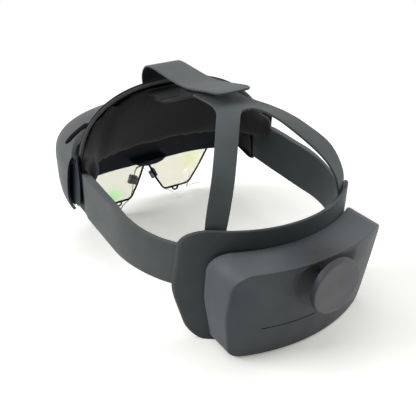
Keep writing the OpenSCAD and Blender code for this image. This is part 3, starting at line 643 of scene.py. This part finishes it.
def rocker_solid(length, width, z0, z1, crown=0.0):
    levels = ((z0, 0), (z1 - crown, 0), (z1 - crown * 0.4, crown * 0.35), (z1, crown))
    rings = [[(x, y, z) for x, y in stadium(length - 2 * k, width - 2 * k)] for z, k in levels]
    return tube_rings(np.array(rings) @ rocker_frame().T + ROCKER_AT)


def cut(obj, cutter):
    bpy.context.view_layer.update()
    m = modifier(obj, "BOOLEAN", operation="DIFFERENCE", solver="EXACT")
    m.object = cutter
    settle(obj)
    bpy.data.objects.remove(cutter)


outer, inner = shell_grid()
verts, faces = closed_sheet(outer, inner, wrap=True)
count = len(outer[0])
total = outer.shape[0] * count
# the two small holes at the pole are closed by fans
faces = [f for f in faces if not all(i % total < count for i in f)]
faces.append(tuple(range(count)))
faces.append(tuple(total + i for i in reversed(range(count))))
shell = outward(add_mesh("front_shell_skin", verts, faces, SHELL))
paint(shell, DARK, lambda c, n: np.dot(n, (c - [0, -200, 10]) / [100, 80, 40]) < -0.05)
rounded_edges(shell, 0.7, 50, 3)
settle(shell)
for side in (1, -1):
    v, f = rocker_solid(ROCKER_LEN + 1.4, ROCKER_W + 1.2, -7, 9)
    cut(shell, outward(add_mesh("slot_cutter", v * [side, 1, 1], f, BLACK)))
declare(shell, "visor_unit", "front_shell", slot="shell")

for side, node in ((1, "brightness_rocker"), (-1, "volume_rocker")):
    v, f = rocker_solid(ROCKER_LEN - 0.8, ROCKER_W - 0.8, -4.4, -1.4, 0.5)
    key = outward(add_mesh(node + "_key", v * [side, 1, 1], f, BLACK))
    declare(settle(key, 50), node, node, slot="black_plastic")

# ---- clear visor and window

VISOR_TOP, VISOR_SPLIT, VISOR_WALL = 9, -12, 1.8
VISOR_BEND = -46  # height at which the sides start to draw in


def visor_point(t, z, inset):
    """Point of the visor at plan angle t in degrees and height z."""
    z = np.asarray(z, float)
    t = np.radians(t)
    a = np.where(z > VISOR_BEND, 100.6 + (80 - 100.6) * (VISOR_TOP - z) / 55, 80 - 10 * (VISOR_BEND - z) / 22)
    a = a - inset
    b = 80.8 + (69 - 80.8) * (VISOR_TOP - z) / 77 - inset
    n = SHELL_N + (3.4 - SHELL_N) * (VISOR_TOP - z) / 77
    back = 17 * smooth((-24 - z) / 28) * smooth((0.7 - np.abs(t)) / 0.38)
    return np.stack([a * sgnpow(np.sin(t), 2 / n), SHELL_Y - b * sgnpow(np.cos(t), 2 / n) + back, z], axis=-1)


def visor_rim(t):
    d = np.abs(t)
    nose = -31 - 25 * smooth(d / 8)
    lobe = -56 - 12.2 * smooth((d - 8) / 14) + 9.7 * np.clip((d - 22) / 28, 0, 1)
    rise = -58.5 + (-13 + 58.5) * (d - 50) / 30
    z = np.where(d < 8, nose, np.where(d < 50, lobe, rise))
    kernel = np.hanning(9)
    return np.convolve(np.pad(z, 4, mode="edge"), kernel / kernel.sum(), mode="valid")


def visor_sheet(name, t, top, bottom, rows, wall, material, edge=None):
    k = np.linspace(0, 1, rows)[:, None]
    z = top * (1 - k) + bottom * k
    tt = np.broadcast_to(t, z.shape)
    floor = np.array([ground_z(y) for y in visor_point(t, bottom, 0)[:, 1]]) + 0.02
    z = np.maximum(z, floor)
    verts, faces = closed_sheet(visor_point(tt, z, 0), visor_point(tt, z, wall))
    sheet = add_mesh(name, verts, faces, material)
    if edge:
        sheet.data.materials.append(edge)
        for polygon in list(sheet.data.polygons)[2 * (rows - 1) * (len(t) - 1):]:
            polygon.material_index = 1
    return outward(sheet)


t = np.linspace(-78, 78, 209)
visor = visor_sheet("clear_visor_sheet", t, VISOR_SPLIT - 4.5 * (np.abs(t) / 78) ** 3, visor_rim(t), 26,
                    VISOR_WALL, CLEAR, CLEAR_EDGE)
declare(settle(rounded_edges(visor, 0.35, 50, 2)), "visor_unit", "clear_visor", slot="clear")

t = np.linspace(-75.6, 75.6, 153)
window = visor_sheet("sensor_window_panel", t, VISOR_TOP - 0.2 - 22 * (np.abs(t) / 75.6) ** 3,
                     VISOR_SPLIT + 0.2 - 4 * (np.abs(t) / 75.6) ** 3, 12, VISOR_WALL, WINDOW)
declare(settle(rounded_edges(window, 0.4, 50, 2)), "visor_unit", "sensor_window", slot="window")

# ---- lenses

LENS_Y, LENS_T = -262, 1.6
LENS_POINTS = [(2.5, -18), (7.5, -30), (11.6, -39), (19.5, -52.6), (47.5, -52.6), (59.3, -37.3), (71.5, -18)]
LENS_RADII = [0.5, 40, 40, 6, 8, 60, 0.5]
FRAME_W, RIM_HALF = 1.5, 1.4


def lens_outline(grow):
    middle = np.array([36, -28])
    points = []
    for p in LENS_POINTS:
        d = np.array(p) - middle
        points.append(np.array(p) + grow * d / np.linalg.norm(d))
    return corner_arcs(points, LENS_RADII, 12)


def outline_normals(points):
    """Unit normals of a closed outline of (x, z), pointing out of it."""
    along = np.roll(points, -1, axis=0) - np.roll(points, 1, axis=0)
    normal = np.stack([along[:, 1], -along[:, 0]], -1)
    normal /= np.linalg.norm(normal, axis=1, keepdims=True)
    return normal * np.sign(np.sum(normal * (points - points.mean(axis=0))))


for side, word, glass in ((1, "left", LENS_NEAR), (-1, "right", LENS_FAR)):
    flip = np.array([side, 1])
    faces_y = LENS_Y + LENS_T / 2, LENS_Y - LENS_T / 2
    lens = plate(word + "_lens_glass", lens_outline(-0.2) * flip, *faces_y, glass)
    declare(lens, "visor_unit", word + "_lens", slot="lens")
    # rim: a thin band that runs down one side, under the lens and up the other
    inside = resampled(lens_outline(0), 360, closed=True)
    outside = inside + FRAME_W * outline_normals(inside)
    below = [i for i in range(360) if inside[i, 1] < -18.4]
    start = next(i for i in below if i - 1 not in below and (i > 0 or 359 not in below))
    order = [(start + k) % 360 for k in range(len(below))]
    rings = []
    for i in order:
        (xa, za), (xb, zb) = inside[i] * flip, outside[i] * flip
        y0, y1 = LENS_Y + RIM_HALF, LENS_Y - RIM_HALF
        rings.append([(xa, y0, za), (xb, y0, zb), (xb, y1, zb), (xa, y1, za)])
    rim = tube(word + "_lens_rim", rings, BLACK)
    settle(rounded_edges(rim, 0.4, 50, 3))
    declare(rim, "visor_unit", word + "_lens_frame", slot="lens_rim")
    # eyelet under the lens
    rings = []
    for i in range(48):
        angle = 2 * math.pi * i / 48
        centre = np.array([32.2 * side, LENS_Y, -55.2])
        radial = np.array([math.cos(angle) * 1.25, 0, math.sin(angle)])
        rings.append([
            centre + radial * 2.3 + radial * 0.75 * math.cos(b) + np.array([0, 1.3 * math.sin(b), 0])
            for b in full_turn(12)
        ])
    rings = np.array(rings)
    v = rings.reshape(-1, 3)
    f = [tuple(i % len(v) for i in q) for q in grid_faces(49, 12, wrap=True)]
    eyelet = outward(add_mesh(word + "_lens_eyelet", v, f, BLACK))
    declare(settle(eyelet), "visor_unit", slot="lens_rim")


NOSE_BLOCK = [(-18, -11), (-12, -15), (-5, -16.4), (5, -16.4), (12, -15), (18, -11)]
declare(plate("nose_block", NOSE_BLOCK, -260.5, -250, HOUSING, 0.8), "visor_unit", slot="dark_frame")

# ---- brow


def brow_surface(t, v, inner):
    """Outer or inner face of the brow arch, t in degrees from temple to temple, v up to the rim."""
    t = np.radians(t)
    c = sgnpow(np.cos(t), 2 / RIM_N)
    s = sgnpow(np.sin(t), 2 / RIM_N)
    if inner:
        low = np.stack([86 * np.sin(t), BROW_Y + 1 - 54 * np.cos(t), 14 + 0 * t], -1)
        top = np.stack([(RIM_A - 6) * s, RIM_Y + 1 - RIM_LEAN * RIM_H * c, RIM_Z - 1 + (RIM_H - 7) * c], -1)
    else:
        low = np.stack([92 * np.sin(t), BROW_Y - 66 * np.cos(t), 12 + 0 * t], -1)
        top = np.stack([RIM_A * s, RIM_Y - RIM_LEAN * RIM_H * c, RIM_Z + RIM_H * c], -1)
    v = np.asarray(v)[..., None]
    bulge = np.stack([0 * t, -np.cos(t), 0.4 * np.cos(t)], -1)
    return low * (1 - v) + top * v + 12 * v * (1 - v) * bulge


def brow_point(t, v, k, lift=0.0):
    outer = brow_surface(t, v, False)
    inner = brow_surface(t, v, True)
    across = inner - outer
    across = across / np.linalg.norm(across, axis=-1, keepdims=True)
    k = np.asarray(k)[..., None]
    return outer * (1 - k) + inner * k + across * np.asarray(lift)[..., None]


t = np.linspace(-86.4, 86.4, 161)[:, None]
v = np.linspace(0, 1, 22)[None, :]
tt, vv = np.broadcast_arrays(t, v)
verts, faces = closed_sheet(brow_point(tt, vv, 0 * vv), brow_point(tt, vv, 0 * vv + 0.22))
brow = outward(add_mesh("brow_shell", verts, faces, DARK))
settle(rounded_edges(brow, 0.4, 50, 2))
slot_cutter = [(-16.2, -250, 63.2), (16.2, -190, 69.2)]


def box_piece(name, low, high, material):
    (x0, y0, z0), (x1, y1, z1) = low, high
    rings = [[(x0, y0, z), (x1, y0, z), (x1, y1, z), (x0, y1, z)] for z in (z0, z1)]
    return tube(name, rings, material)


cut(brow, box_piece("slot_cutter", *slot_cutter, BLACK))
declare(brow, "headband", "brow_frame", slot="dark_frame")

# the cushion's section, as (k across, v up, lift)
SECTION = [
    (0.25, 0.05, 0), (0.25, 0.3, 0), (0.25, 0.55, 0), (0.25, 0.8, 0), (0.25, 0.93, 0), (0.27, 0.975, 0),
    (0.33, 1.0, 0), (0.45, 1.012, 0), (0.6, 1.008, 0), (0.7, 0.995, 0), (0.75, 0.978, 0), (0.775, 0.962, 0),
    (0.8, 0.968, 0), (0.85, 0.972, 0), (0.92, 0.962, 0), (0.98, 0.94, 0), (1, 0.91, 0.3), (1, 0.85, 0.9),
    (1, 0.76, 1.5), (1, 0.64, 2.0), (1, 0.5, 2.3), (1, 0.36, 2.1), (1, 0.24, 1.6), (1, 0.14, 0.9),
    (1, 0.06, 0.2), (0.97, 0.0, 0), (0.88, -0.035, 0), (0.75, -0.05, 0), (0.6, -0.05, 0), (0.45, -0.04, 0),
    (0.33, -0.02, 0), (0.27, 0.01, 0),
]
section = resampled(SECTION, 96, closed=True)
END_T, END_AT, END_HALF = 77, np.array([84, -191.5, 26]), np.array([9, 14, 13.5])


def cushion_ring(t):
    """The cushion's section at t degrees: it thickens towards the temples and turns round there."""
    side = 1 if t > 0 else -1
    k, v, lift = section.T
    ring = brow_point(np.full(len(k), t), v, k, lift)
    ring[:, 0] -= side * 8 * smooth((abs(t) - 44) / 28) * np.maximum(0, k - 0.25) / 0.75
    middle = (ring.min(axis=0) + ring.max(axis=0)) / 2
    turned = smooth((abs(t) - 56) / (END_T - 56))
    a = np.arctan2(*((section[:, :2] - [0.62, 0.48]) / [0.38, 0.5]).T)
    ball = np.stack([-side * np.sin(a), 0 * a, np.cos(a)], -1) * END_HALF
    return middle + turned * (END_AT * [side, 1, 1] - middle), (ring - middle) * (1 - turned) + ball * turned


rows = []
for t in np.linspace(-END_T, END_T, 181):
    middle, spoke = cushion_ring(t)
    rows.append(middle + spoke)
for side, add in ((-1, lambda r: rows.insert(0, r)), (1, rows.append)):
    middle, spoke = cushion_ring(side * END_T)
    for a in np.radians(np.linspace(6, 87, 14)):
        add(middle + spoke * math.cos(a) + np.array([0, 1, 0.1]) * END_HALF[1] * math.sin(a))
pad = tube("brow_cushion", rows, BROW)


def beside_arm(points):
    """The cushion's ends lie flat against the arms and the frame."""
    level = smooth((points[:, 1] + 214) / 10) * smooth((29 - points[:, 2]) / 4)
    limit = 86.4 * level + 200 * (1 - level)
    points[:, 0] = np.clip(points[:, 0], -limit, limit)
    return points


pad = filled(pad, np.array([0, -130, 20]), 2.5, beside_arm)
cut(pad, box_piece("slot_cutter", *slot_cutter, BROW))
declare(pad, "headband", "brow_pad", slot="brow_cushion")

PIPING_R, PIPING_T = 1.6, 75
spine = np.array([brow_point(np.full(1, t), np.full(1, 0.985), np.full(1, 0.24))[0]
                  for t in np.linspace(-PIPING_T, PIPING_T, 161)])
piping = tube("brow_rim_piping", round_tube(spine, PIPING_R), RIM)
declare(settle(piping, 60), "headband", slot="brow_cushion")

# ---- strap and flap

STRAP_T, STRAP_HALF = 1.6, 15


def thicken(obj, edge, angle):
    """Gives a sheet the strap's thickness, half to each side, and rounds its edges."""
    modifier(obj, "SOLIDIFY", thickness=STRAP_T * MM, offset=0, use_even_offset=True)
    return settle(rounded_edges(obj, edge, angle, 3), 40)


STRAP_OUTER = [
    (15, -213, 64.2), (15, -206, 65), (15, -194, 67), (15, -182, 72), (15, -168, 80), (15, -154, 85.4),
    (15, -140, 86.2), (15.5, -125, 86.2), (18.3, -115.5, 85.5), (21.5, -110, 84.6), (25, -105, 83.2),
    (31, -97, 80.2), (39, -86, 74), (51, -71, 61), (59.5, -64, 41), (61.6, -63.6, 24.2),
]
STRAP_INNER = [
    (0, -213, 64.2), (0, -206, 65), (0, -194, 67), (0, -182, 72), (0, -168, 80), (0, -154, 85.4),
    (0, -140, 86.2), (0, -121, 86.5), (0, -105, 86.6), (4, -104, 86.4), (7.6, -101, 85.8),
    (11.5, -96, 84.4), (20, -85.5, 77.8), (36.5, -66, 59), (45.5, -57.5, 43), (51, -55.2, 24.2),
]
outer, inner = spline(STRAP_OUTER, 7), spline(STRAP_INNER, 7)
inner[:, 0] = np.maximum(0, inner[:, 0])
inner[: 8 * 7 + 1, 0] = 0
across = np.linspace(0, 1, 11)[None, :, None]
half = inner[:, None] * (1 - across) + outer[:, None] * across
n = len(half)
verts = np.concatenate([half.reshape(-1, 3), (half * [-1, 1, 1]).reshape(-1, 3)])
faces = grid_faces(n, 11) + [tuple(reversed(f)) for f in grid_faces(n, 11, start=n * 11)]
strap = outward(add_mesh("overhead_strap_web", verts, faces, STRAP))
# painted shade: the strap's front part, which lies under the flap, is made near-black
paint(strap, STRAP_SHADE, lambda c, n: c[1] < -150)
thicken(strap, 0.5, 60)
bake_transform(strap)
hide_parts("overhead_strap")

FLAP = [
    (-203, 66.2), (-210, 66.3), (-219, 66.2), (-226, 67.4), (-230.5, 71.5), (-231.6, 78), (-229, 84.4),
    (-223.5, 88.8), (-214, 90.3), (-196, 89.3), (-178, 88.3), (-160, 88.8), (-142, 92),
    (-127, 94.8), (-117, 95.9),
]
route = spline(FLAP, 6)
columns = np.linspace(-STRAP_HALF, STRAP_HALF, 25)
grid = np.zeros((len(route), len(columns), 3))
for r, (y, z) in enumerate(route):
    for c, x in enumerate(columns):
        grid[r, c] = (x, y, z)
# rounded corners at the free end
END_R = 6.0
length = np.concatenate([[0], np.cumsum(np.hypot(*np.diff(route, axis=0).T))])
for c, x in enumerate(columns):
    past = max(0, abs(x) - (STRAP_HALF - END_R))
    short = END_R - math.sqrt(max(0, END_R**2 - past**2))
    at = length * (length[-1] - short) / length[-1]
    grid[:, c, 1] = np.interp(at, length, route[:, 0])
    grid[:, c, 2] = np.interp(at, length, route[:, 1])
BAR_Y, BAR_Z, BAR_R = -226.6, 70.6, 0.5
bar = tube_rings(round_tube(np.array([[x, BAR_Y, BAR_Z] for x in np.linspace(-14.6, 14.6, 12)]), BAR_R))
declare(settle(outward(add_mesh("strap_bar", *bar, STEEL))), "headband", slot="metal")
flap = thicken(add_mesh("strap_flap_web", grid.reshape(-1, 3), grid_faces(*grid.shape[:2]), STRAP), 0.45, 50)


def flap_inside(c, n):
    """Faces on the inner side of the fold, and the underside of both its arms, which take the painted shade.
    """
    in_fold = (c[1] < -205 or c[2] < 84) and np.dot(n[1:], c[1:] - [-214, 78]) < -0.2
    return in_fold or c[1] > -205 and n[2] < -0.6 or c[2] < 68.5 and n[2] < 0


# painted shade: the fold's inside and the arms' undersides are made near-black
paint(flap, STRAP_SHADE, flap_inside)
declare(flap, "headband", "strap_flap", slot="strap")

# ---- side bands

HEAD_R, ARC_Y = 90.5, -130.5
# height of the band's edges, and distance of its faces from the arc, by depth
BAND_TOP = np.array([[-200, 25.6], [-180, 25.6], [-168, 25.2], [-156, 24.3], [-138, 23.3], [-127, 22],
                     [-114, 20.2], [-104, 18.8], [-89, 17.4], [-50, 16.5]])
BAND_LOW = np.array([[-200, -11.4], [-180, -13.1], [-160, -14.2], [-134, -15.7], [-116, -16.3],
                     [-89, -16.8], [-50, -17]])
BAND_OUT = np.array([[-206, 0.6], [-202, 0.8], [-197.5, 1.2], [-194, 1.3], [-184, 3.2], [-134, 3.2],
                     [-118, 2.4], [-105, 1.9], [-50, 1.7]])
BAND_IN = np.array([[-206, -3.6], [-197.5, -3.6], [-190, -3.4], [-160, -2.9], [-134, -2.6], [-118, -1.9],
                    [-105, -1.7], [-50, -1.7]])
BAND_START, BAND_END = -205, 57


def band_route(step=1.6):
    straight = [(HEAD_R, y, 1, 0) for y in np.arange(BAND_START, ARC_Y, step)]
    arc = [(HEAD_R * math.cos(a), ARC_Y + HEAD_R * math.sin(a), math.cos(a), math.sin(a))
           for a in np.radians(np.arange(0, BAND_END, 1.0))]
    return straight + arc


def rounded_section(w0, w1, h0, h1, r, steps=5):
    return corner_arcs([(w0, h0), (w1, h0), (w1, h1), (w0, h1)], [r] * 4, steps)


for side, word in ((1, "left"), (-1, "right")):
    rings = []
    route = band_route()
    for i, (x, y, nx, ny) in enumerate(route):
        w0, w1 = np.interp(y, *BAND_IN.T), np.interp(y, *BAND_OUT.T)
        h0, h1 = np.interp(y, *BAND_LOW.T), np.interp(y, *BAND_TOP.T)
        soft = max(0, 1 - (y - BAND_START) / 5) if i < 6 else 0
        drawn_in = 3.2 * (1 - math.sqrt(1 - soft**2 * 0.999))
        h0, h1 = h0 + drawn_in, h1 - drawn_in
        r = min(1.1, (w1 - w0) * 0.42)
        rings.append([(side * (x + nx * w), y + ny * w, h) for w, h in rounded_section(w0, w1, h0, h1, r)])
    band = tube(word + "_side_band", rings, ARM)
    # painted shade: the bands' inward faces are given the darker coating
    paint(band, ARM_INNER_SHADE,
          lambda c, n: (n[0] * side if c[1] < -120 else np.dot(n[:2], c[:2] - [0, ARC_Y])) < -0.5)
    settle(band, 50)
    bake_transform(band)
    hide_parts(word + "_arm", word + "_band")

# ---- rear pad

PAD_R, PAD_BASE_T, PAD_BOTTOM, JOIN_Y = 95, 2.4, -62, -35.5


def barrel(top, middle, bottom, radii, steps):
    """Outline with a straight top and bottom and bowed sides, from (half width, height) of each."""
    corners = [(-top[0], top[1]), top, middle, bottom, (-bottom[0], bottom[1]), (-middle[0], middle[1])]
    upper, side, lower = radii
    return corner_arcs(corners, [upper, upper, side, lower, lower, side], steps)


PAD_OUTLINE = barrel((74, 32.5), (78.4, -20), (70, PAD_BOTTOM), (17, 70, 19), 16)
CUSHION_OUTLINE = barrel((65, 31.5), (69, -20), (64, PAD_BOTTOM), (16, 70, 16), 16)


def on_arc(x, r):
    """Depth of the upright arc of radius r that the pad follows."""
    return JOIN_Y - PAD_R + math.sqrt(max(0, r * r - x * x))


def arc_slab(name, outline, count, rings_at, material, middle=(0, -14)):
    """A padded or flat slab on the head's arc. rings_at lists (scale, inset, radius) from one face's
    middle, round the edge, to the other face's middle."""
    outline = resampled(outline, count, closed=True)
    middle = np.array(middle)
    rings = []
    for scale, inset, radius in rings_at:
        ring = []
        for p in outline:
            d = p - middle
            q = middle + d * scale - d / np.linalg.norm(d) * inset
            y = on_arc(q[0], radius)
            z = max(q[1], ground_z(y) + 0.02)
            ring.append((q[0], y, z))
        rings.append(ring)
    return tube(name, rings, material)


steps = np.linspace(0.04, 1, 22)
flat = [(s, 0, PAD_R) for s in steps[:-1]]
edge = [(1, 0.9 - 0.9 * math.sin(a), PAD_R - 1 + math.cos(a)) for a in np.linspace(0.15, math.pi / 2, 5)]
under = [(1, 0.9 - 0.9 * math.sin(a), PAD_R - PAD_BASE_T + 1 - abs(math.cos(a)))
         for a in np.linspace(math.pi / 2, math.pi - 0.1, 5)]
back = [(s, 0, PAD_R - PAD_BASE_T) for s in steps[-2::-1]]
layers = flat + [(1, 0.9, PAD_R)] + edge + under + [(1, 0.9, PAD_R - PAD_BASE_T)] + back
base = arc_slab("rear_pad_shell", PAD_OUTLINE, 220, layers, PAD_BASE)
declare(settle(base, 50), "rear_pod", "rear_pad_base", slot="band")

CUSHION_OUT = PAD_R - PAD_BASE_T - 0.1
layers = [(s, 0, CUSHION_OUT) for s in np.linspace(0.05, 0.97, 12)]
layers += [(1, inset, CUSHION_OUT - down) for inset, down in ((1.2, 0), (0.35, 0.6), (0, 1.8), (0.3, 3))]
for inset, r in ((1.4, 88.9), (3.0, 87.9), (5.5, 86.9), (9, 86.1), (13, 85.5)):
    layers.append((1, inset, r))
layers += [(s * 0.78, 0, 85.2 - 0.6 * (1 - s)) for s in np.linspace(1, 0.05, 12)]


def above_floor(points):
    points[:, 2] = np.maximum(points[:, 2], [ground_z(y) + 0.05 for y in points[:, 1]])
    return points


soft = arc_slab("rear_cushion", CUSHION_OUTLINE, 200, layers, CUSHION)
soft = filled(soft, np.array([0, -130, -15]), 3.0, above_floor)
declare(soft, "rear_pod", "rear_pad", slot="cushion")

# ---- rear pod

POD_HALF, POD_TOP, POD_FLOOR = 66.2, 18.7, -56
POD_REAR_R, POD_REAR_Y, POD_LEAN, POD_FRONT_R, POD_JOIN_Y = 135, -9.7, 7.2, 115, -35.5
DISH_R, DISH_DEPTH = 66, 8.5


POD_OUTLINE = barrel((POD_HALF - 1.7, POD_TOP), (POD_HALF, -18), (POD_HALF - 4.7, POD_FLOOR), (15, 80, 9), 24)


def pod_rear(x, z):
    """Depth of the pod's rear face: a leaning cylinder."""
    lean = math.radians(POD_LEAN)
    # the cylinder's axis passes through (0, POD_REAR_Y - R, POD_TOP), leaning about X
    yc, zc = POD_REAR_Y - POD_REAR_R, POD_TOP
    ca, sa = math.cos(-lean), math.sin(-lean)
    # local depth of a point: v = (y - yc) * ca + (z - zc) * sa ; x^2 + v^2 = R^2
    v = math.sqrt(max(0, POD_REAR_R**2 - x * x))
    return yc + (v - (z - zc) * sa) / ca


def dish(x, z):
    inside = DISH_R**2 - x * x - z * z
    return POD_REAR_Y - DISH_DEPTH + DISH_R - math.sqrt(inside) if inside > 0 else 1e3


def soft_min(a, b, k):
    h = max(0, k - abs(a - b)) / k
    return min(a, b) - h * h * k / 4


def pod_face(x, z):
    """The rear face: its recess runs out below the top edge, and the dial stands clear of it."""
    face = pod_rear(x, z)
    deep = soft_min(face, dish(x, z), 1.2)
    return face + (deep - face) * float(smooth((POD_TOP + 0.6 - z) / 9))


def pod_front(x):
    return POD_JOIN_Y - POD_FRONT_R + math.sqrt(POD_FRONT_R**2 - x * x)


outline = resampled(POD_OUTLINE, 360, closed=True)
EDGE_R = 1.0
rings = []
for s in np.linspace(0.02, 1, 70)[:-1]:
    rings.append([(x * s, pod_face(x * s, z * s), z * s) for x, z in outline])


def shrunk(inset):
    """The pod's outline, drawn in towards its middle."""
    out = outline - np.array([0, -18])
    return outline - out / np.linalg.norm(out, axis=1, keepdims=True) * inset


for a in np.linspace(0, math.pi / 2, 7):
    back = EDGE_R * (1 - math.cos(a))
    rings.append([(x, pod_face(x, z) - back, z) for x, z in shrunk(EDGE_R * (1 - math.sin(a)))])
for k in np.linspace(0.1, 1, 10):
    rings.append([(x, (pod_face(x, z) - EDGE_R) * (1 - k) + (pod_front(x) + 0.6) * k, z) for x, z in outline])
for inset, y in ((0.2, 0.25), (0.6, 0)):
    rings.append([(q[0], pod_front(p[0]) + y, q[1]) for p, q in zip(outline, shrunk(inset))])
for s in np.linspace(0.96, 0.05, 14):
    rings.append([(x * s, pod_front(x * s), z * s) for x, z in outline])
pod = tube("rear_pod_cover", rings, POD)
settle(pod, 50)
for (x, y), (w, d) in zip(((9, -24), (-12, -24)), ((8.6, 3.6), (10.4, 4.8))):
    low, high = (x - w / 2, y - d / 2, POD_FLOOR - 3), (x + w / 2, y + d / 2, POD_FLOOR + 3)
    cut(pod, box_piece("opening_cutter", low, high, BLACK))
declare(pod, "rear_pod", "rear_cover", "rear_inner_plate", slot="pod")

LIGHT_X, LIGHT_Z, LIGHT_H = (2, 43), -30.5, 0.7
rings = []
for x in np.linspace(*LIGHT_X, 30):
    y = pod_face(x, LIGHT_Z)
    corners = ((-0.6, -1), (0.06, -1), (0.06, 1), (-0.6, 1))
    rings.append([(x, y + out, LIGHT_Z + up * LIGHT_H / 2) for out, up in corners])
light_line = tube("status_light_line", rings, BLACK)
declare(settle(light_line), "rear_pod", slot="black_plastic")

# ---- dial

profile = [(0.02, 0), (6, 0), (12, 0), (17.5, 0), (19.1, -0.03), (19.5, -0.12), (19.8, -0.35), (19.95, -0.7),
           (20, -1.2), (20, -3), (20, -4.4), (19.8, -4.8), (19.4, -5), (17, -5), (14, -5), (14, -7),
           (14, -9.5), (8, -9.5), (0.02, -9.5)]
circle = full_turn(160)
rings = [[(r * math.cos(a), y, r * math.sin(a)) for a in circle] for r, y in resampled(profile, 60)]
dial = tube("dial_knob", rings, DIAL)
# painted shade: the dial's side and back are darkened
paint(dial, DIAL_SIDE_SHADE, lambda c, n: c[1] < -0.5)
settle(dial, 40)
declare(dial, "dial", "dial", slot="dial")

# ---- CAD nodes that stay

slot_of = {s["node"]: s["material_slot"] for s in frame["record"]["subparts"]}
for node, obj in frame["nodes"].items():
    material = MATERIAL_OF_SLOT[slot_of[node]]
    if not obj.data.materials:
        obj.data.materials.append(material)
    for k in range(len(obj.data.materials)):
        obj.data.materials[k] = material

# ---- floor, light and camera


def first_of(tree, *rays):
    """A socket that is 1 for any of these kinds of ray."""
    path = tree.nodes.new("ShaderNodeLightPath")
    socket = path.outputs[rays[0]]
    for ray in rays[1:]:
        either = add_node(tree, "ShaderNodeMath", {0: socket, 1: path.outputs[ray]}, operation="MAXIMUM")
        socket = either.outputs[0]
    return socket


def mixed(tree, factor, one, other):
    return add_node(tree, "ShaderNodeMixShader", {"Fac": factor, 1: one.outputs[0], 2: other.outputs[0]})


BACKGROUND_RAYS = ("Is Camera Ray", "Is Transmission Ray", "Is Glossy Ray")

# FLOOR_SHADOW is the paper's colour where it is seen, FLOOR_BOUNCE what it throws back
FLOOR_SHADOW, FLOOR_GLOW, FLOOR_BOUNCE = 1.08, 0.26, 0.5
# in metres from the middle: the paper turns to plain white between these
FLOOR_NEAR, FLOOR_FAR = 0.28, 0.6
FLOOR = bpy.data.materials.new("floor_paper")
FLOOR.use_nodes = True
tree = FLOOR.node_tree
paper = tree.nodes["Principled BSDF"]
paper.inputs["Base Color"].default_value = (FLOOR_BOUNCE, FLOOR_BOUNCE, FLOOR_BOUNCE * 0.98, 1)
paper.inputs["Roughness"].default_value = 0.9
paper.inputs["Specular IOR Level"].default_value = 0.1
seen_colour = (FLOOR_SHADOW, FLOOR_SHADOW * 1.01, FLOOR_SHADOW * 1.03, 1)
matte = add_node(tree, "ShaderNodeBsdfDiffuse", Color=seen_colour)
glow = add_node(tree, "ShaderNodeEmission", Color=(1, 0.98, 0.82, 1), Strength=FLOOR_GLOW)
lit = add_node(tree, "ShaderNodeAddShader", {0: matte.outputs[0], 1: glow.outputs[0]})
middle = tree.nodes.new("ShaderNodeTexCoord").outputs["Object"]
away = add_node(tree, "ShaderNodeVectorMath", {0: middle}, operation="LENGTH")
fade = add_node(tree, "ShaderNodeMapRange", {"Value": away.outputs["Value"]}, From_Min=FLOOR_NEAR,
                From_Max=FLOOR_FAR, interpolation_type="SMOOTHSTEP")
seen = mixed(tree, fade.outputs[0], lit, tree.nodes.new("ShaderNodeEmission"))
kind = mixed(tree, first_of(tree, *BACKGROUND_RAYS), paper, seen)
tree.links.new(kind.outputs[0], tree.nodes["Material Output"].inputs["Surface"])
corners = [(-3, -3, 0), (3, -3, 0), (3, 3, 0), (-3, 3, 0)]
floor = add_mesh("floor", corners, [(0, 1, 2, 3)], FLOOR, device=False)
floor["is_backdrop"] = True

AMBIENT = 0.19
world = bpy.data.worlds.new("studio")
bpy.context.scene.world = world
world.use_nodes = True
tree = world.node_tree
ambient = tree.nodes["Background"]
ambient.inputs["Color"].default_value = (1, 1, 1, 1)
ambient.inputs["Strength"].default_value = AMBIENT
white = add_node(tree, "ShaderNodeBackground", Strength=1.0)
mix = mixed(tree, first_of(tree, *BACKGROUND_RAYS), ambient, white)
tree.links.new(mix.outputs[0], tree.nodes["World Output"].inputs["Surface"])


def softbox(name, at, size, power, target=(0, 0, 0.05)):
    light = bpy.data.lights.new(name, "AREA")
    light.shape = "SQUARE"
    light.size = size
    light.energy = power
    obj = bpy.data.objects.new(name, light)
    obj.location = at
    obj.rotation_euler = (Vector(at) - Vector(target)).to_track_quat("Z", "Y").to_euler()
    bpy.context.scene.collection.objects.link(obj)


softbox("overhead", (0.0, -0.1, 1.5), 1.2, 8)
softbox("left_window", (1.15, -0.6, 0.9), 0.8, 14)
softbox("right_window", (-1.3, 0.15, 0.6), 0.6, 8)

CAMERA_AZIMUTH, CAMERA_ELEVATION, CAMERA_ROLL = 147.12, 28.28, -1.02
CAMERA_FROM = row_point(234.07, 200.19, 231.93)
camera_data = bpy.data.cameras.new("camera")
camera_data.lens = 50.41
camera = bpy.data.objects.new("camera", camera_data)
bpy.context.scene.collection.objects.link(camera)
az, el = math.radians(CAMERA_AZIMUTH), math.radians(CAMERA_ELEVATION)
back = Vector((math.sin(az) * math.cos(el), -math.cos(az) * math.cos(el), math.sin(el)))
camera.rotation_mode = "QUATERNION"
camera.rotation_quaternion = (-back).to_track_quat("-Z", "Y") @ Matrix.Rotation(
    math.radians(CAMERA_ROLL), 3, "Z").to_quaternion()
camera.location = CAMERA_FROM
bpy.context.scene.camera = camera
bpy.context.scene.view_settings.view_transform = "Standard"

low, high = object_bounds()
